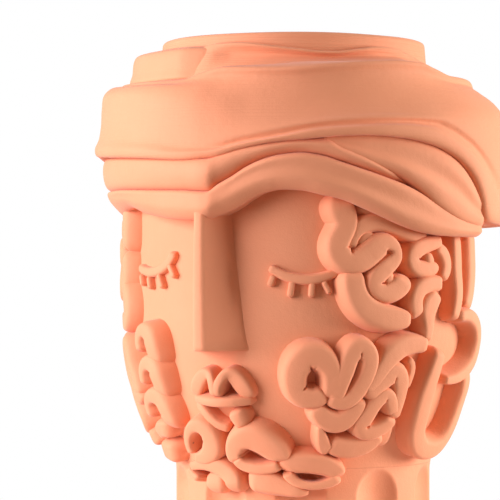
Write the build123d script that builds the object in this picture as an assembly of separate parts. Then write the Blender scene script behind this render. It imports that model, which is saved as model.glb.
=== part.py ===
from build123d import *
import math
import os

# Terracotta face vase: a hollow head with a turban, standing on a fluted neck.
# Millimetres. The origin is the centre of the base, +Z is up and the face looks along -Y.
# Places on the head are written as an angle and a height. The angle is in degrees round the
# vertical axis, 0 at the nose and positive towards +X, the head's own left side.

# Vessel walls
NECK_HEIGHT = 66.0
NECK_RADIUS = 92.0
NECK_WALL = 11.0
BASE_THICKNESS = 14.0
FLUTE_COUNT = 10
FLUTE_WIDTH = 35.0
FLUTE_DEPTH = 7.0
FLUTE_TOP = 57.0
FLUTE_PHASE = 28.0
JAW_RISE = 109.0
HEAD_RADIUS = 120.0
HEAD_WALL = 10.0
SHOULDER_THICKNESS = 18.0
SHOULDER_LEDGE = 25.0
COLLAR_HEIGHT = 32.0
COLLAR_RADIUS = HEAD_RADIUS - SHOULDER_LEDGE
COLLAR_WALL = 10.0
COLLAR_FORWARD = 14.0
COLLAR_LIP_ROUND = 3.0

# The slip line between two clay pieces that are luted together, and the wider one between two straps
SEAM = 0.3
STRAP_SEAM = 0.9

# Length over which rolls ease across the bend between the jaw and the neck
BEND_EASE = 26.0

# Heights that the features hang from
EYE_RISE = 20.0
BROW_RISE = 39.0
MOUTH_DROP = 88.0
TURBAN_RISE = 78.0
JAW_TOP = NECK_HEIGHT + JAW_RISE
EYE_LINE = JAW_TOP + EYE_RISE
MOUTH_LINE = EYE_LINE - MOUTH_DROP
TURBAN_LINE = EYE_LINE + BROW_RISE
SHOULDER_LEVEL = TURBAN_LINE + TURBAN_RISE
SHOULDER_TOP = SHOULDER_LEVEL + SHOULDER_THICKNESS

# Nose
NOSE_DROP = 52.5
NOSE_BOTTOM = EYE_LINE - NOSE_DROP
NOSE_BASE_HALF_WIDTH = 26.0
NOSE_TOP_HALF_WIDTH = 12.0
NOSE_RIDGE_HALF_WIDTH = 4.0
NOSE_PROUD_TOP = 28.0
NOSE_PROUD_BOTTOM = 27.0
NOSE_TOP_SLANT = 20.0
NOSE_ROUND = 2.5

# Turban straps: how far each stands out from the head wall, at angles round the head
BROW_PROUD = [(-96, 18), (-61, 21.5), (-37, 22), (-17, 25), (-4, 30), (3, 31.5), (9, 27),
              (18, 25.5), (28, 25), (60, 24.5), (74, 23), (92, 18)]
MIDDLE_PROUD = [(-96, 22), (-61, 26.5), (-17, 28), (-4, 31), (2.5, 33), (8, 29), (14, 26.5),
                (33, 23.5)]
FAN_PROUD = [(33, 21), (49, 21.5), (57, 23.5), (64, 26), (70, 28), (79, 28.5), (86, 27.5), (92, 24)]

# Face of the broad band: the same, at shares of its height counted from the top
BROAD_FACE = [
    (0.03, [(-180, 9), (-61, 11), (-12, 8), (4, 8), (28, 9.5), (60, 7), (90, 3), (119, 2),
           (180, 9)]),
    (0.17, [(-180, 23), (-61, 24.5), (-17, 22), (4, 11.5), (28, 12), (60, 8.5), (90, 10),
           (119, 14), (180, 23)]),
    (0.37, [(-180, 28), (-61, 26), (-17, 25.5), (4, 17), (28, 10), (60, 9), (90, 26),
           (119, 28.5), (180, 28)]),
    (0.56, [(-180, 29), (-61, 26.5), (-17, 27), (4, 21.5), (28, 12), (60, 13), (90, 28.5),
           (180, 29)]),
    (0.75, [(-180, 29), (-61, 28), (-17, 28.5), (4, 24.5), (28, 18), (60, 21), (90, 29.5),
           (180, 29)]),
    (0.92, [(-180, 29.5), (-61, 31), (-17, 32), (4, 28.5), (28, 24.5), (60, 25), (90, 30),
           (180, 29.5)]),
    (1.0, [(-180, 27), (-61, 29.5), (-17, 30), (4, 27), (28, 23.5), (60, 24), (90, 28),
           (180, 27)]),
]
TOP_WRAP_RISE = 23.0
TOP_WRAP_OVERHANG = 5.0
RIM_FOLD_THICKNESS = 4.0

# Shape of the straps: corner roundness of a section, thinness of an end and the length it thins over
STRAP_CORNER = 0.3
STRAP_END_THINNESS = 0.35
STRAP_END_ANGLE = 16.0

# Turban edges, as height over the turban line at angles round the head
BROW_LOWER = [(-96, -8), (-70, -1), (-42, 4), (-33, 7), (-20, 5), (-2, 0), (7, 8), (16, 16.5),
              (25, 19.5), (35, 16), (46, 8), (59, -3), (71, -9.5), (94, -12)]
BROW_UPPER = [(-96, 6), (-80, 22), (-61, 26), (-20, 22), (3, 21), (14, 36), (23, 42), (28, 43),
              (36, 39), (42, 35), (57, 24), (71, 10), (85, -3), (94, -6)]
BROAD_LOWER = [(-180, -3), (-130, -3), (-108, 2), (-97, 16), (-86, 38), (-61, 50), (-20, 46),
               (3, 41.5), (14, 48), (28, 53.5), (42, 56), (54, 56), (62, 55), (71, 50), (80, 43), (87, 32),
               (93, 16), (100, 2), (115, -3), (180, -3)]
BROAD_UPPER = [(-180, 95), (-61, 95), (-25, 94), (-7, 95), (4, 102), (13, 103), (28, 104),
               (43, 106), (59, 107.5), (90, 107), (119, 100), (127, 95), (180, 95)]

# Upper edge of the rim fold, as height over the shoulder
RIM_FOLD_UPPER = [(-6, 24), (15, 23), (28, 19), (41, 17), (54, 20), (73, 23), (124, 21)]

# Turban ends
BROW_ENDS = (-94, 92)
MIDDLE_ENDS = (-93, 33)
FAN_ENDS = (33.4, 92)
TOP_WRAP_ENDS = (127, 355)
RIM_FOLD_ENDS = (-4.6, 126.6)
BACK_SEAM = 179.8
STRAP_STEP = 6.0

ON_FLOOR = (Align.CENTER, Align.CENTER, Align.MIN)


def jaw_radius():
    """Radius of the arc that draws the wall in from the cheeks to the neck."""
    inset = HEAD_RADIUS - NECK_RADIUS
    return (inset ** 2 + JAW_RISE ** 2) / (2 * inset)


def wall_radius(z):
    """Outer radius of the vessel at a height."""
    if z >= JAW_TOP:
        return HEAD_RADIUS
    if z <= NECK_HEIGHT:
        return NECK_RADIUS
    arc = jaw_radius()
    return HEAD_RADIUS - arc + math.sqrt(arc ** 2 - (JAW_TOP - z) ** 2)


def wall_slope(z):
    """Change of the outer radius with height."""
    if z >= JAW_TOP or z <= NECK_HEIGHT:
        return 0.0
    return (JAW_TOP - z) / math.sqrt(jaw_radius() ** 2 - (JAW_TOP - z) ** 2)


def seat(z):
    """Radius and slope that rolls sit on: the wall, eased over the bend at the top of the neck."""
    low, high = NECK_HEIGHT - BEND_EASE / 2, NECK_HEIGHT + BEND_EASE / 2
    if z <= low or z >= high:
        return wall_radius(z), wall_slope(z)
    t = (z - low) / BEND_EASE
    rise, end_slope = wall_radius(high) - NECK_RADIUS, wall_slope(high)
    radius = NECK_RADIUS + rise * t * t * (3 - 2 * t) - end_slope * BEND_EASE * t * t * (1 - t)
    slope = rise * 6 * t * (1 - t) / BEND_EASE - end_slope * t * (2 - 3 * t)
    return radius, slope


def smooth_line(points):
    """A function through (x, y) points: cubic between them, with no overshoot."""
    xs = [float(p[0]) for p in points]
    ys = [float(p[1]) for p in points]
    rates = [(ys[i + 1] - ys[i]) / (xs[i + 1] - xs[i]) for i in range(len(xs) - 1)]
    slopes = [0.0]
    for before, after in zip(rates, rates[1:]):
        slopes.append(2 * before * after / (before + after) if before * after > 0 else 0.0)
    slopes.append(0.0)

    def at(x):
        x = min(max(x, xs[0]), xs[-1])
        i = max(k for k in range(len(xs) - 1) if xs[k] <= x)
        step = xs[i + 1] - xs[i]
        t = (x - xs[i]) / step
        rise = ys[i] * (1 + 2 * t) * (1 - t) ** 2 + ys[i + 1] * t * t * (3 - 2 * t)
        return rise + step * (slopes[i] * t * (1 - t) ** 2 - slopes[i + 1] * t * t * (1 - t))

    return at


def polar(angle, radius, z):
    """A point at an angle from the nose, a distance from the axis and a height."""
    turn = math.radians(angle)
    return Vector(radius * math.sin(turn), -radius * math.cos(turn), z)


def ring(outer, inner, low, high):
    """A plain round wall between two heights."""
    wall = Cylinder(outer, high - low, align=ON_FLOOR) - Cylinder(inner, high - low, align=ON_FLOOR)
    return Pos(0, 0, low) * wall


def head_profile(inset):
    """Half outline of the head wall, from the neck's top to the shoulder, drawn in by an inset."""
    middle = (JAW_TOP + NECK_HEIGHT) / 2
    return [
        Vector(NECK_RADIUS - inset, 0, NECK_HEIGHT),
        Vector(wall_radius(middle) - inset, 0, middle),
        Vector(HEAD_RADIUS - inset, 0, JAW_TOP),
        Vector(HEAD_RADIUS - inset, 0, SHOULDER_LEVEL),
    ]


def profile_edges(points):
    """The jaw's arc and the straight cheek above it."""
    neck, middle, jaw, top = points
    return [Edge.make_three_point_arc(neck, middle, jaw), Edge.make_line(jaw, top)]


def head_outer():
    """The head's outside as a full solid, for seating pieces on it."""
    points = head_profile(0)
    foot, crown = Vector(0, 0, NECK_HEIGHT), Vector(0, 0, SHOULDER_LEVEL)
    edges = profile_edges(points)
    corners = [points[3], crown, foot, points[0]]
    edges += [Edge.make_line(a, b) for a, b in zip(corners, corners[1:])]
    return revolve(Face(Wire(edges)), Axis.Z)


def head_wall():
    """The head as one thrown wall: jaw arc and straight cheeks."""
    outer, inner = head_profile(0), head_profile(HEAD_WALL)
    edges = profile_edges(outer) + profile_edges(inner)
    edges += [Edge.make_line(outer[3], inner[3]), Edge.make_line(inner[0], outer[0])]
    return revolve(Face(Wire(edges)), Axis.Z)


def fluted_neck():
    """The column under the head, with arched flutes round it."""
    neck = ring(NECK_RADIUS, NECK_RADIUS - NECK_WALL, 0, NECK_HEIGHT - SEAM)
    half = FLUTE_WIDTH / 2
    cutter_radius = (half ** 2 + FLUTE_DEPTH ** 2) / (2 * FLUTE_DEPTH)
    reach = math.sqrt(NECK_RADIUS ** 2 - half ** 2) - FLUTE_DEPTH + cutter_radius
    spring = FLUTE_TOP - half
    for count in range(FLUTE_COUNT):
        centre = polar(FLUTE_PHASE + count * 360 / FLUTE_COUNT, reach, 0)
        shaft = Pos(centre) * Cylinder(cutter_radius, 2 * spring)
        dome = Pos(centre + Vector(0, 0, spring)) * Sphere(cutter_radius)
        neck -= shaft + dome
    return neck


def base_disc():
    """The slab that closes the bottom of the neck."""
    radius = NECK_RADIUS - NECK_WALL - SEAM
    return Cylinder(radius, BASE_THICKNESS, align=ON_FLOOR)


def collar_place():
    """The mouth stands a little forward of the head's axis."""
    return Pos(0, -COLLAR_FORWARD, 0)


def shoulder_ring():
    """The flat ring that closes the head in towards the mouth."""
    low = SHOULDER_LEVEL + SEAM
    slab = Pos(0, 0, low) * Cylinder(HEAD_RADIUS, SHOULDER_TOP - low, align=ON_FLOOR)
    hole = Cylinder(COLLAR_RADIUS - COLLAR_WALL, 4 * SHOULDER_TOP)
    return slab - collar_place() * hole


def mouth_collar():
    """The round mouth, with a softened lip."""
    low = SHOULDER_TOP + SEAM
    collar = ring(COLLAR_RADIUS, COLLAR_RADIUS - COLLAR_WALL, low, SHOULDER_TOP + COLLAR_HEIGHT)
    lip = collar.edges().group_by(Axis.Z)[-1]
    return collar_place() * fillet(lip, COLLAR_LIP_ROUND)


def collar_reach(angle):
    """Distance from the head's axis to the outside of the collar at an angle."""
    turn = math.radians(angle)
    across = COLLAR_FORWARD * math.sin(turn)
    return COLLAR_FORWARD * math.cos(turn) + math.sqrt(COLLAR_RADIUS ** 2 - across ** 2)


def strap_section(angle, inner, low, high, low_reach, high_reach):
    """One upright section of a strap: a straight back and a rounded face."""
    share = STRAP_CORNER * (high - low)
    face = [(inner, high), (high_reach, high), (high_reach, high - share),
            (low_reach, low + share), (low_reach, low), (inner, low)]
    points = [polar(angle, r, z) for r, z in face]
    return Wire([Edge.make_bezier(*points), Edge.make_line(points[-1], points[0])])


def strap(ends, section_at):
    """A strap laid round the head, lofted through upright sections."""
    start, end = ends
    first, last = math.ceil(start / STRAP_STEP), math.floor(end / STRAP_STEP)
    steps = [STRAP_STEP * i for i in range(first, last + 1)]
    inner = [a for a in steps if min(a - start, end - a) > STRAP_STEP / 3]
    angles = [start] + inner + [end]
    return Solid.make_loft([section_at(angle) for angle in angles])


def end_ease(angle, ends):
    """A strap's thickness as a share of the full one: thin at its ends."""
    nearest = min(angle - ends[0], ends[1] - angle)
    share = min(max(nearest / STRAP_END_ANGLE, 0.0), 1.0)
    return STRAP_END_THINNESS + (1 - STRAP_END_THINNESS) * math.sqrt(1 - (1 - share) ** 2)


def wound_strap(ends, lower, upper, proud):
    """A strap on the head wall between two edges, thinner at its ends."""
    low_edge, high_edge, proud_at = smooth_line(lower), smooth_line(upper), smooth_line(proud)
    inner = HEAD_RADIUS + SEAM

    def section_at(angle):
        low = TURBAN_LINE + low_edge(angle) + STRAP_SEAM / 2
        high = TURBAN_LINE + high_edge(angle) - STRAP_SEAM / 2
        reach = HEAD_RADIUS + proud_at(angle) * end_ease(angle, ends)
        return strap_section(angle, inner, low, high, reach, reach)

    return strap(ends, section_at)


def broad_band():
    """The wide strap that goes right round, hollow over its proud lower lip, with a seam at the back."""
    low_edge, high_edge = smooth_line(BROAD_LOWER), smooth_line(BROAD_UPPER)
    face = [(share, smooth_line(proud)) for share, proud in BROAD_FACE]
    inner = HEAD_RADIUS + SEAM

    def section_at(angle):
        low = TURBAN_LINE + low_edge(angle) + STRAP_SEAM / 2
        high = TURBAN_LINE + high_edge(angle)
        places = [(HEAD_RADIUS + proud(angle), high - share * (high - low)) for share, proud in face]
        points = [polar(angle, radius, z) for radius, z in places]
        top, bottom = polar(angle, inner, high), polar(angle, inner, low)
        edges = [Edge.make_line(top, points[0]), Edge.make_spline(points)]
        edges += [Edge.make_line(points[-1], bottom), Edge.make_line(bottom, top)]
        return Wire(edges)

    return strap((-BACK_SEAM, BACK_SEAM), section_at)


def top_wrap():
    """The strap on the shoulder, round the back and the head's right side of the mouth."""
    low = SHOULDER_TOP + SEAM

    def section_at(angle):
        inner = collar_reach(angle) + SEAM
        reach = HEAD_RADIUS + TOP_WRAP_OVERHANG
        return strap_section(angle, inner, low, low + TOP_WRAP_RISE, reach, reach)

    return strap(TOP_WRAP_ENDS, section_at)


def rim_fold():
    """The fold that slopes up to the front of the mouth, with a wavy thin upper edge."""
    low = SHOULDER_TOP + SEAM
    high_edge = smooth_line(RIM_FOLD_UPPER)

    def section_at(angle):
        inner = collar_reach(angle) + SEAM
        foot, edge = HEAD_RADIUS - SEAM, inner + RIM_FOLD_THICKNESS
        return strap_section(angle, inner, low, SHOULDER_TOP + high_edge(angle), foot, edge)

    return strap(RIM_FOLD_ENDS, section_at)


def nose():
    """A plain wedge with a narrow ridge, cut to the wall and under the turban."""
    depth = HEAD_RADIUS - HEAD_WALL
    high = TURBAN_LINE + NOSE_TOP_SLANT

    def outline(z, proud, half_width):
        ridge = HEAD_RADIUS + proud
        points = [(-half_width, -depth), (-NOSE_RIDGE_HALF_WIDTH, -ridge),
                  (NOSE_RIDGE_HALF_WIDTH, -ridge), (half_width, -depth)]
        return Wire.make_polygon([Vector(x, y, z) for x, y in points], close=True)

    wedge = Solid.make_loft([outline(NOSE_BOTTOM, NOSE_PROUD_BOTTOM, NOSE_BASE_HALF_WIDTH),
                             outline(high, NOSE_PROUD_TOP, NOSE_TOP_HALF_WIDTH)])
    tilt = math.degrees(math.atan2(NOSE_TOP_SLANT / 2, NOSE_BASE_HALF_WIDTH))
    under_turban = Plane((0, 0, TURBAN_LINE - SEAM)).rotated((0, -tilt, 0))
    wedge = split(wedge, bisect_by=under_turban, keep=Keep.BOTTOM)
    middles = [(edge, edge.center()) for edge in wedge.edges()]
    front = [edge for edge, at in middles if at.Y < -HEAD_RADIUS and at.Z < TURBAN_LINE - NOSE_ROUND]
    return fillet(front, NOSE_ROUND) - head_outer()


# The top of a roll's section is a mean of its edges and shoulders: one share for each of the two
# edges, and the rest of these shares for the shoulders
SECTION_SHARES = 32

# Rounded end of a roll: place as a share of the half width, and scale there, with the end's height
ROLL_END_SCALES = [(0.0, 0.3), (0.15, 0.6), (0.5, 0.88)]
ROLL_END_HEIGHT = 0.35

# Length of wall between two sections of a roll
ROLL_SPAN = 5.0

# Widest that a roll gets on the inside of a bend, as a share of the bend's radius, with the share of
# the line over which its turning is measured and the least turning that counts
BEND_ROOM = 0.8
BEND_PROBE = 0.01
LEAST_SWING = 1e-6


class Roll:
    """A roll of clay laid along a line on the wall, with rounded ends."""

    def __init__(self, line, height, level):
        self.height = height
        flat = [(HEAD_RADIUS * math.radians(angle), level + rise) for angle, rise, half_width in line]
        self.path = Spline(*flat) if len(flat) > 2 else Line(*flat)
        steps = [math.dist(here, there) for here, there in zip(flat, flat[1:])]
        shares = [sum(steps[:i]) / sum(steps) for i in range(len(flat))]
        self.half_width = smooth_line([(share, point[2]) for share, point in zip(shares, line)])

    def frame_at(self, share):
        """Place on the wall, and the directions along the roll, out of the wall and across."""
        place, heading = self.path @ share, self.path % share
        z, turn = place.Y, place.X / HEAD_RADIUS
        radius, slope = seat(z)
        lean = math.sqrt(1 + slope ** 2)
        out = Vector(math.sin(turn), -math.cos(turn), -slope) / lean
        round_wall = Vector(math.cos(turn), math.sin(turn), 0)
        up_wall = Vector(slope * math.sin(turn), -slope * math.cos(turn), 1) / lean
        along = round_wall * (heading.X * radius / HEAD_RADIUS) + up_wall * (heading.Y * lean)
        across = along.normalized().cross(out)
        bend = across.dot(round_wall) ** 2 / (radius * lean)
        if NECK_HEIGHT + BEND_EASE / 2 < z < JAW_TOP:
            bend += across.dot(up_wall) ** 2 / jaw_radius()
        return polar(math.degrees(turn), radius + SEAM, z), out, across, bend

    def room_at(self, share):
        """Room for the roll on the left and on the right of its line, from the way that the line turns."""
        before, after = max(share - BEND_PROBE, 0.0), min(share + BEND_PROBE, 1.0)
        back, ahead = self.path % before, self.path % after
        swing = back.X * ahead.Y - back.Y * ahead.X
        room = BEND_ROOM * (after - before) * self.path.length / max(abs(swing), LEAST_SWING)
        half = self.half_width(share)
        tight = min(half, room)
        return (tight, half) if swing > 0 else (half, tight)

    def section(self, share, scale):
        """A section with steep sides and a full top, whose back follows the wall."""
        place, out, across, bend = self.frame_at(share)
        left, right = (half * scale for half in self.room_at(share))
        low_left, low_right = (-bend * half ** 2 / 2 for half in (left, right))
        height = self.height * (ROLL_END_HEIGHT + (1 - ROLL_END_HEIGHT) * min(1.0, scale))
        rise = (SECTION_SHARES * height - low_left - low_right) / (SECTION_SHARES - 2)
        shoulders = [(right, rise), (right, rise), (-left, rise), (-left, rise)]
        top = [(right, low_right)] + shoulders + [(-left, low_left)]
        back = [(-left, low_left), (0, -(low_left + low_right) / 2), (right, low_right)]
        sides_of_section = [[place + across * x + out * y for x, y in side] for side in (top, back)]
        return Wire([Edge.make_bezier(*points) for points in sides_of_section])

    def solid(self):
        """The roll, lofted through sections that shrink at both ends."""
        length = self.path.length
        caps = [min(self.half_width(end), length / 3) / length for end in (0.0, 1.0)]
        first = [(at * caps[0], scale) for at, scale in ROLL_END_SCALES]
        last = [(1 - at * caps[1], scale) for at, scale in reversed(ROLL_END_SCALES)]
        whole = 1 - sum(caps)
        spans = max(3, round(whole * length / ROLL_SPAN))
        middle = [(caps[0] + whole * i / spans, 1.0) for i in range(spans + 1)]
        return Solid.make_loft([self.section(share, scale) for share, scale in first + middle + last])


# Curls of the temples: height, and lines on the wall as (angle, height over the eye line, half width)
TEMPLE_CURLS = {
    "temple_hook": (12.0, [
        [(47.6, 21, 2.8), (50, 25.6, 3.6), (54, 26.6, 3.8), (57.3, 22.5, 3.6), (58.4, 15.5, 3.4),
         (57.8, 9, 3.2), (56.6, 5.5, 2.4)],
        [(44.4, 23, 2.8), (45.6, 29, 3.2), (49, 33.4, 3.4), (53.5, 34.6, 3.4), (58.5, 31.4, 3.4),
         (63, 27, 3.2), (67, 26.4, 2.8)]]),
    "temple_ring": (12.0, [
        [(53.6, 0, 4.4), (51, -5.5, 5), (51, -11, 4.8), (53.5, -14.5, 4.6), (57, -12, 4.6),
         (60.5, -7.5, 4.4), (62.5, -1.5, 3.8), (62, 3, 2.8)]]),
    "ear_curl_upper": (11.5, [
        [(77, 24, 2.2), (72, 22.5, 3.2), (67.5, 17.5, 4.6), (66, 10.5, 5.6), (67.5, 5, 5),
         (71.5, 5, 4.2), (73.5, 8, 3.2)]]),
    "ear_wisp": (8.5, [
        [(76.8, 18, 1.8), (80, 14.5, 2.2), (81.5, 7.5, 2.4), (80.5, 0.5, 2.2), (78.6, -4, 1.8)]]),
    "ear_curl_lower": (11.5, [
        [(77, -9, 3.6), (72.5, -6.8, 4.2), (68.5, -9, 5), (66, -16, 5.4), (66.5, -25, 5.4),
         (67.5, -31.5, 4.6), (70.8, -29, 4), (73.4, -23, 3.8), (75, -18, 3)],
        [(78.4, -18, 2.4), (79, -25, 2.6), (78.4, -33, 2.6), (77.2, -42, 2.2)]]),
}

# Curls of the beard: the same, with heights over the mouth line
BEARD_CURLS = {
    "cheek_petal": (12.0, [
        [(41.4, 13, 2.8), (41.4, 20, 3.2), (41.8, 29.5, 3.6), (43, 37.5, 4.6), (46, 40.6, 5.2),
         (48.8, 37, 5.2), (49.3, 29.5, 5.2), (48.3, 19, 5), (45.6, 9.5, 4.8), (42.4, 4.2, 4.2),
         (39.4, 4.4, 3.6), (36.4, 6, 2.6)]]),
    "jaw_arm": (12.0, [
        [(70, 41, 5), (65, 41, 6), (60, 39.5, 6.2), (56.8, 34, 5.4), (54.8, 27.5, 3.6)]]),
    "jaw_petal": (11.5, [
        [(54.2, 16, 2.6), (55.6, 20, 3.6), (58.5, 22.6, 5), (61.2, 19.5, 4.8), (62.2, 10.5, 4),
         (61.8, 2, 3.2), (61.2, -6, 2)],
        [(64.4, 31, 1.6), (66.6, 28.5, 2), (67, 23.5, 2), (65.8, 14, 1.4)]]),
    "jaw_core": (11.0, [
        [(58.2, -3, 2.4), (57.8, 3.5, 3.2), (55.6, 9.4, 3.8), (53, 7.4, 4.2), (50.8, -1, 4.6),
         (49, -10.5, 4.8), (50.4, -15.6, 4.6), (54, -14.4, 4.2), (57.2, -11.4, 3)]]),
}

# Temple locks that differ from side to side
TEMPLE_LOCKS = {
    "left_temple_scroll": (12.5, [
        [(39, 52, 5.6), (38, 43.5, 6.6), (38.5, 34.5, 5.6), (37.5, 25, 6.6), (38, 17, 6.8),
         (39.5, 9.5, 6.2), (42.5, 6, 5), (46.5, 8, 4.2), (50.4, 13.4, 3.2)]]),
    "right_temple_scroll": (10.5, [
        [(-49.5, 39.5, 5.6), (-49, 30, 6.6), (-49, 20, 6)],
        [(-50, 17, 6), (-50, 6.5, 6.6), (-51, -4, 6)]]),
    "left_temple_sweep": (12.0, [
        [(43.5, -1.4, 6), (43.5, -7.5, 7), (44.5, -15, 7.2), (46.5, -22, 7.2), (49.5, -27.5, 7.2),
         (53.5, -30, 7.2), (57, -30, 7.4), (61, -29.5, 6.4), (63, -31, 4.2)]]),
    "right_temple_sweep": (10.5, [
        [(-51.5, -7, 5.6), (-48.5, -15, 6.6), (-47.5, -24, 6.8), (-51, -31.5, 6), (-57, -32, 5.8),
         (-63, -29, 5)]]),
}

# Beard locks that differ from side to side: on the right they are a stack of loops
BEARD_LOCKS = {
    "left_cheek_curl": (12.5, [
        [(37, 20, 3.8), (36.2, 29, 5), (33, 35, 6.8), (28.5, 33.5, 7.4), (25.5, 25.5, 7.6),
         (24.5, 17, 7.6), (26, 8.5, 6.4), (29, 4.4, 5), (32.6, 5.6, 3.6)]]),
    "right_cheek_curl": (12.0, [
        [(-34, 36, 3), (-34, 44, 3.4), (-30.5, 50, 4.6), (-26.5, 46, 6.2), (-25.4, 34.5, 6.8)],
        [(-35, 13.5, 3), (-34.5, 21, 3.4), (-31, 26, 4.6), (-26, 23.5, 6.2), (-24.6, 12, 6.8)]]),
    "left_beard_scallop": (11.5, [
        [(33, -0.6, 3), (34.8, -7, 4.8), (38, -11.2, 6), (42, -10.8, 5.8), (44.6, -5.6, 4.2),
         (46.2, 0, 2.2)]]),
    "right_beard_scallop": (11.5, [
        [(-37.5, -9, 3), (-37.5, -1, 3.4), (-32.5, 4, 4.6), (-26.5, 1, 6.2), (-24.6, -11, 6.6)]]),
    "left_beard_hem": (10.5, [
        [(37.8, -24, 3.6), (41, -26, 4.8), (46, -27.6, 5.4), (51, -26.8, 4.4), (55, -22.8, 3),
         (58, -17, 1.8)],
        [(34.8, -17, 2.4), (35.4, -23, 2.8), (36.2, -29.5, 2.2)],
        [(60.6, -13, 2.2), (60.8, -21, 3.4), (59.6, -28, 2.4)]]),
    "right_beard_hem": (10.0, [
        [(-38, -22, 5), (-34, -17.5, 5.2), (-29, -18.5, 4.6)],
        [(-41, -33, 5), (-36, -35, 5.4), (-31, -37, 4.6)]]),
    "left_chin_curl": (13.0, [
        [(4.8, -38, 3.4), (2.8, -32, 4.6), (4.2, -24, 5.6), (8, -19.8, 6), (13, -20.8, 6.8),
         (17.4, -25.6, 6.6), (20, -32, 4.8), (20, -37, 3)],
        [(6.6, -41.8, 2.2), (11.5, -43.2, 2.4), (17, -42.2, 2.2)]]),
    "left_chin_loop": (12.0, [
        [(22.2, -49, 3.4), (22.8, -44, 4.4), (26.4, -39.8, 5.2), (31, -38.6, 5.6),
         (36.5, -40.6, 5.4), (41.4, -44.6, 4.8), (42.6, -50, 3.6), (39.4, -54.4, 2.8),
         (34.5, -55.6, 2.6), (30, -55, 2)]]),
    "left_chin_tip": (11.5, [
        [(8.4, -51.8, 5), (13, -53.6, 5.6), (18, -56.6, 4.8), (23, -60, 3.6), (28.5, -62.6, 2.4)]]),
    "right_chin_curl": (13.0, [
        [(-20.4, -34.5, 2), (-20, -26, 2.2), (-16, -18.4, 2.8), (-11.4, -15.4, 3.4),
         (-8.4, -18.6, 4.8), (-7.8, -24.5, 5.8), (-10.6, -31.4, 5.2), (-15.6, -35.6, 2.8)]]),
    "right_chin_loop": (12.0, [
        [(-21, -45.8, 2.4), (-14.5, -43, 2.8), (-8, -43.6, 4.2), (-3, -48, 4.8), (0, -54.6, 4.8),
         (0.6, -62, 4.4)]]),
}

# How much farther back the mirrored pieces of the head's right side lie
RIGHT_TEMPLE_BACK = 9.5
RIGHT_BEARD_BACK = 4.0

# Ear and earring: height, and lines with heights over the eye line
EAR_PIECES = {
    "ear": (11.0, [
        [(91, 24, 7.6), (93, 15, 8.2), (93.6, 6, 8.2), (93, -7, 7.6), (90, -19, 5.6)]]),
    "ear_lobe": (13.0, [
        [(85.4, -31, 5), (91, -29, 6), (98, -34.5, 6.4), (101, -46.5, 6.4), (98.5, -59, 6.2),
         (92, -67, 5.4), (86, -70, 4)]]),
    "earring": (13.0, [
        [(78, -50, 6), (76.4, -64, 6.8), (75, -79, 7.6), (74.6, -94, 8), (75.6, -107, 8),
         (79.5, -115, 8), (86, -118, 7.6), (92.5, -113, 7.4), (95.5, -101, 7.2), (96, -84, 6.4)]]),
}

# Closed eyes: lines of each lid and of its lashes, with heights over the eye line
LID_HEIGHT = 4.0
LID_LINES = {
    "left_eyelid": [[(18, 5, 2.4), (23, -0.8, 2.8), (28, -3.2, 3), (33, -3, 2.8), (37, -0.6, 2.4)]],
    "right_eyelid": [[(-17.6, 16, 2.4), (-19.6, 10.5, 2.8), (-22.8, 5.8, 3), (-26.7, 3, 3),
                      (-33.5, 2, 2.8), (-41.4, 5.4, 2.4)]],
    "left_eyelashes": [[(19.6, -2.6, 1.7), (18.4, -8.5, 1.9)], [(25.4, -7.2, 1.7),
                        (24.8, -16, 1.9)],
                       [(31.8, -7.8, 1.7), (31.6, -16, 1.9)], [(35.8, -6.2, 1.7),
                        (37.4, -13, 1.8)]],
    "right_eyelashes": [[(-18.6, 3.2, 1.7), (-17.4, -2.6, 1.9)], [(-25.2, -2, 1.7),
                         (-23.8, -9.8, 1.9)],
                        [(-32.4, -3, 1.7), (-31.6, -10.4, 1.8)], [(-39, -1.2, 1.6),
                         (-38, -8, 1.7)]],
}

# Lips: lines with heights over the mouth line
LIP_HEIGHT = 11.0
LIP_LINES = {
    "upper_lip": [[(-10.8, 6.5, 2.6), (-9, 13, 3.4), (-6.4, 19.6, 3.4), (-4, 21, 3),
                   (-1.4, 16, 2.8), (0.4, 15.2, 2.8), (2.2, 17, 3), (4.6, 21, 3.2), (7, 19, 3.8),
                   (9.2, 12.6, 3.8), (11, 6.5, 2.6)]],
    "lip_parting": [[(-11.5, 1.2, 1.8), (0, 0.8, 2.4), (11.5, 1.2, 1.8)]],
    "lower_lip": [[(-10, -4.4, 1.8), (-5.6, -10.6, 2.4), (-0.4, -14.4, 2.8), (4.6, -11, 4.6),
                   (9.4, -5.4, 3)]],
}


def sides(name, piece, back):
    """A piece on the head's left and its mirror image on the right, which lies farther back by an angle."""
    return {"left_" + name: piece, "right_" + name: Rot(0, 0, -back) * mirror(piece, about=Plane.YZ)}


def rolls(lines, height, level):
    """One roll, or several that make one piece."""
    made = [Roll(line, height, level).solid() for line in lines]
    return made[0] if len(made) == 1 else Compound(made)


def face_pieces():
    """Nose, closed eyes and lips."""
    found = {"nose": nose()}
    for name, lines in LID_LINES.items():
        found[name] = rolls(lines, LID_HEIGHT, EYE_LINE)
    for name, lines in LIP_LINES.items():
        found[name] = rolls(lines, LIP_HEIGHT, MOUTH_LINE)
    return found


def curl_pieces():
    """Hair and beard curls, and the ears with their earrings."""
    found = {}
    mirrored = [(EYE_LINE, TEMPLE_CURLS, RIGHT_TEMPLE_BACK),
    (MOUTH_LINE, BEARD_CURLS, RIGHT_BEARD_BACK), (EYE_LINE, EAR_PIECES, RIGHT_TEMPLE_BACK)]
    for level, curls, back in mirrored:
        for name, (height, lines) in curls.items():
            found.update(sides(name, rolls(lines, height, level), back))
    for level, locks in ((EYE_LINE, TEMPLE_LOCKS), (MOUTH_LINE, BEARD_LOCKS)):
        for name, (height, lines) in locks.items():
            found[name] = rolls(lines, height, level)
    return found


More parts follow.
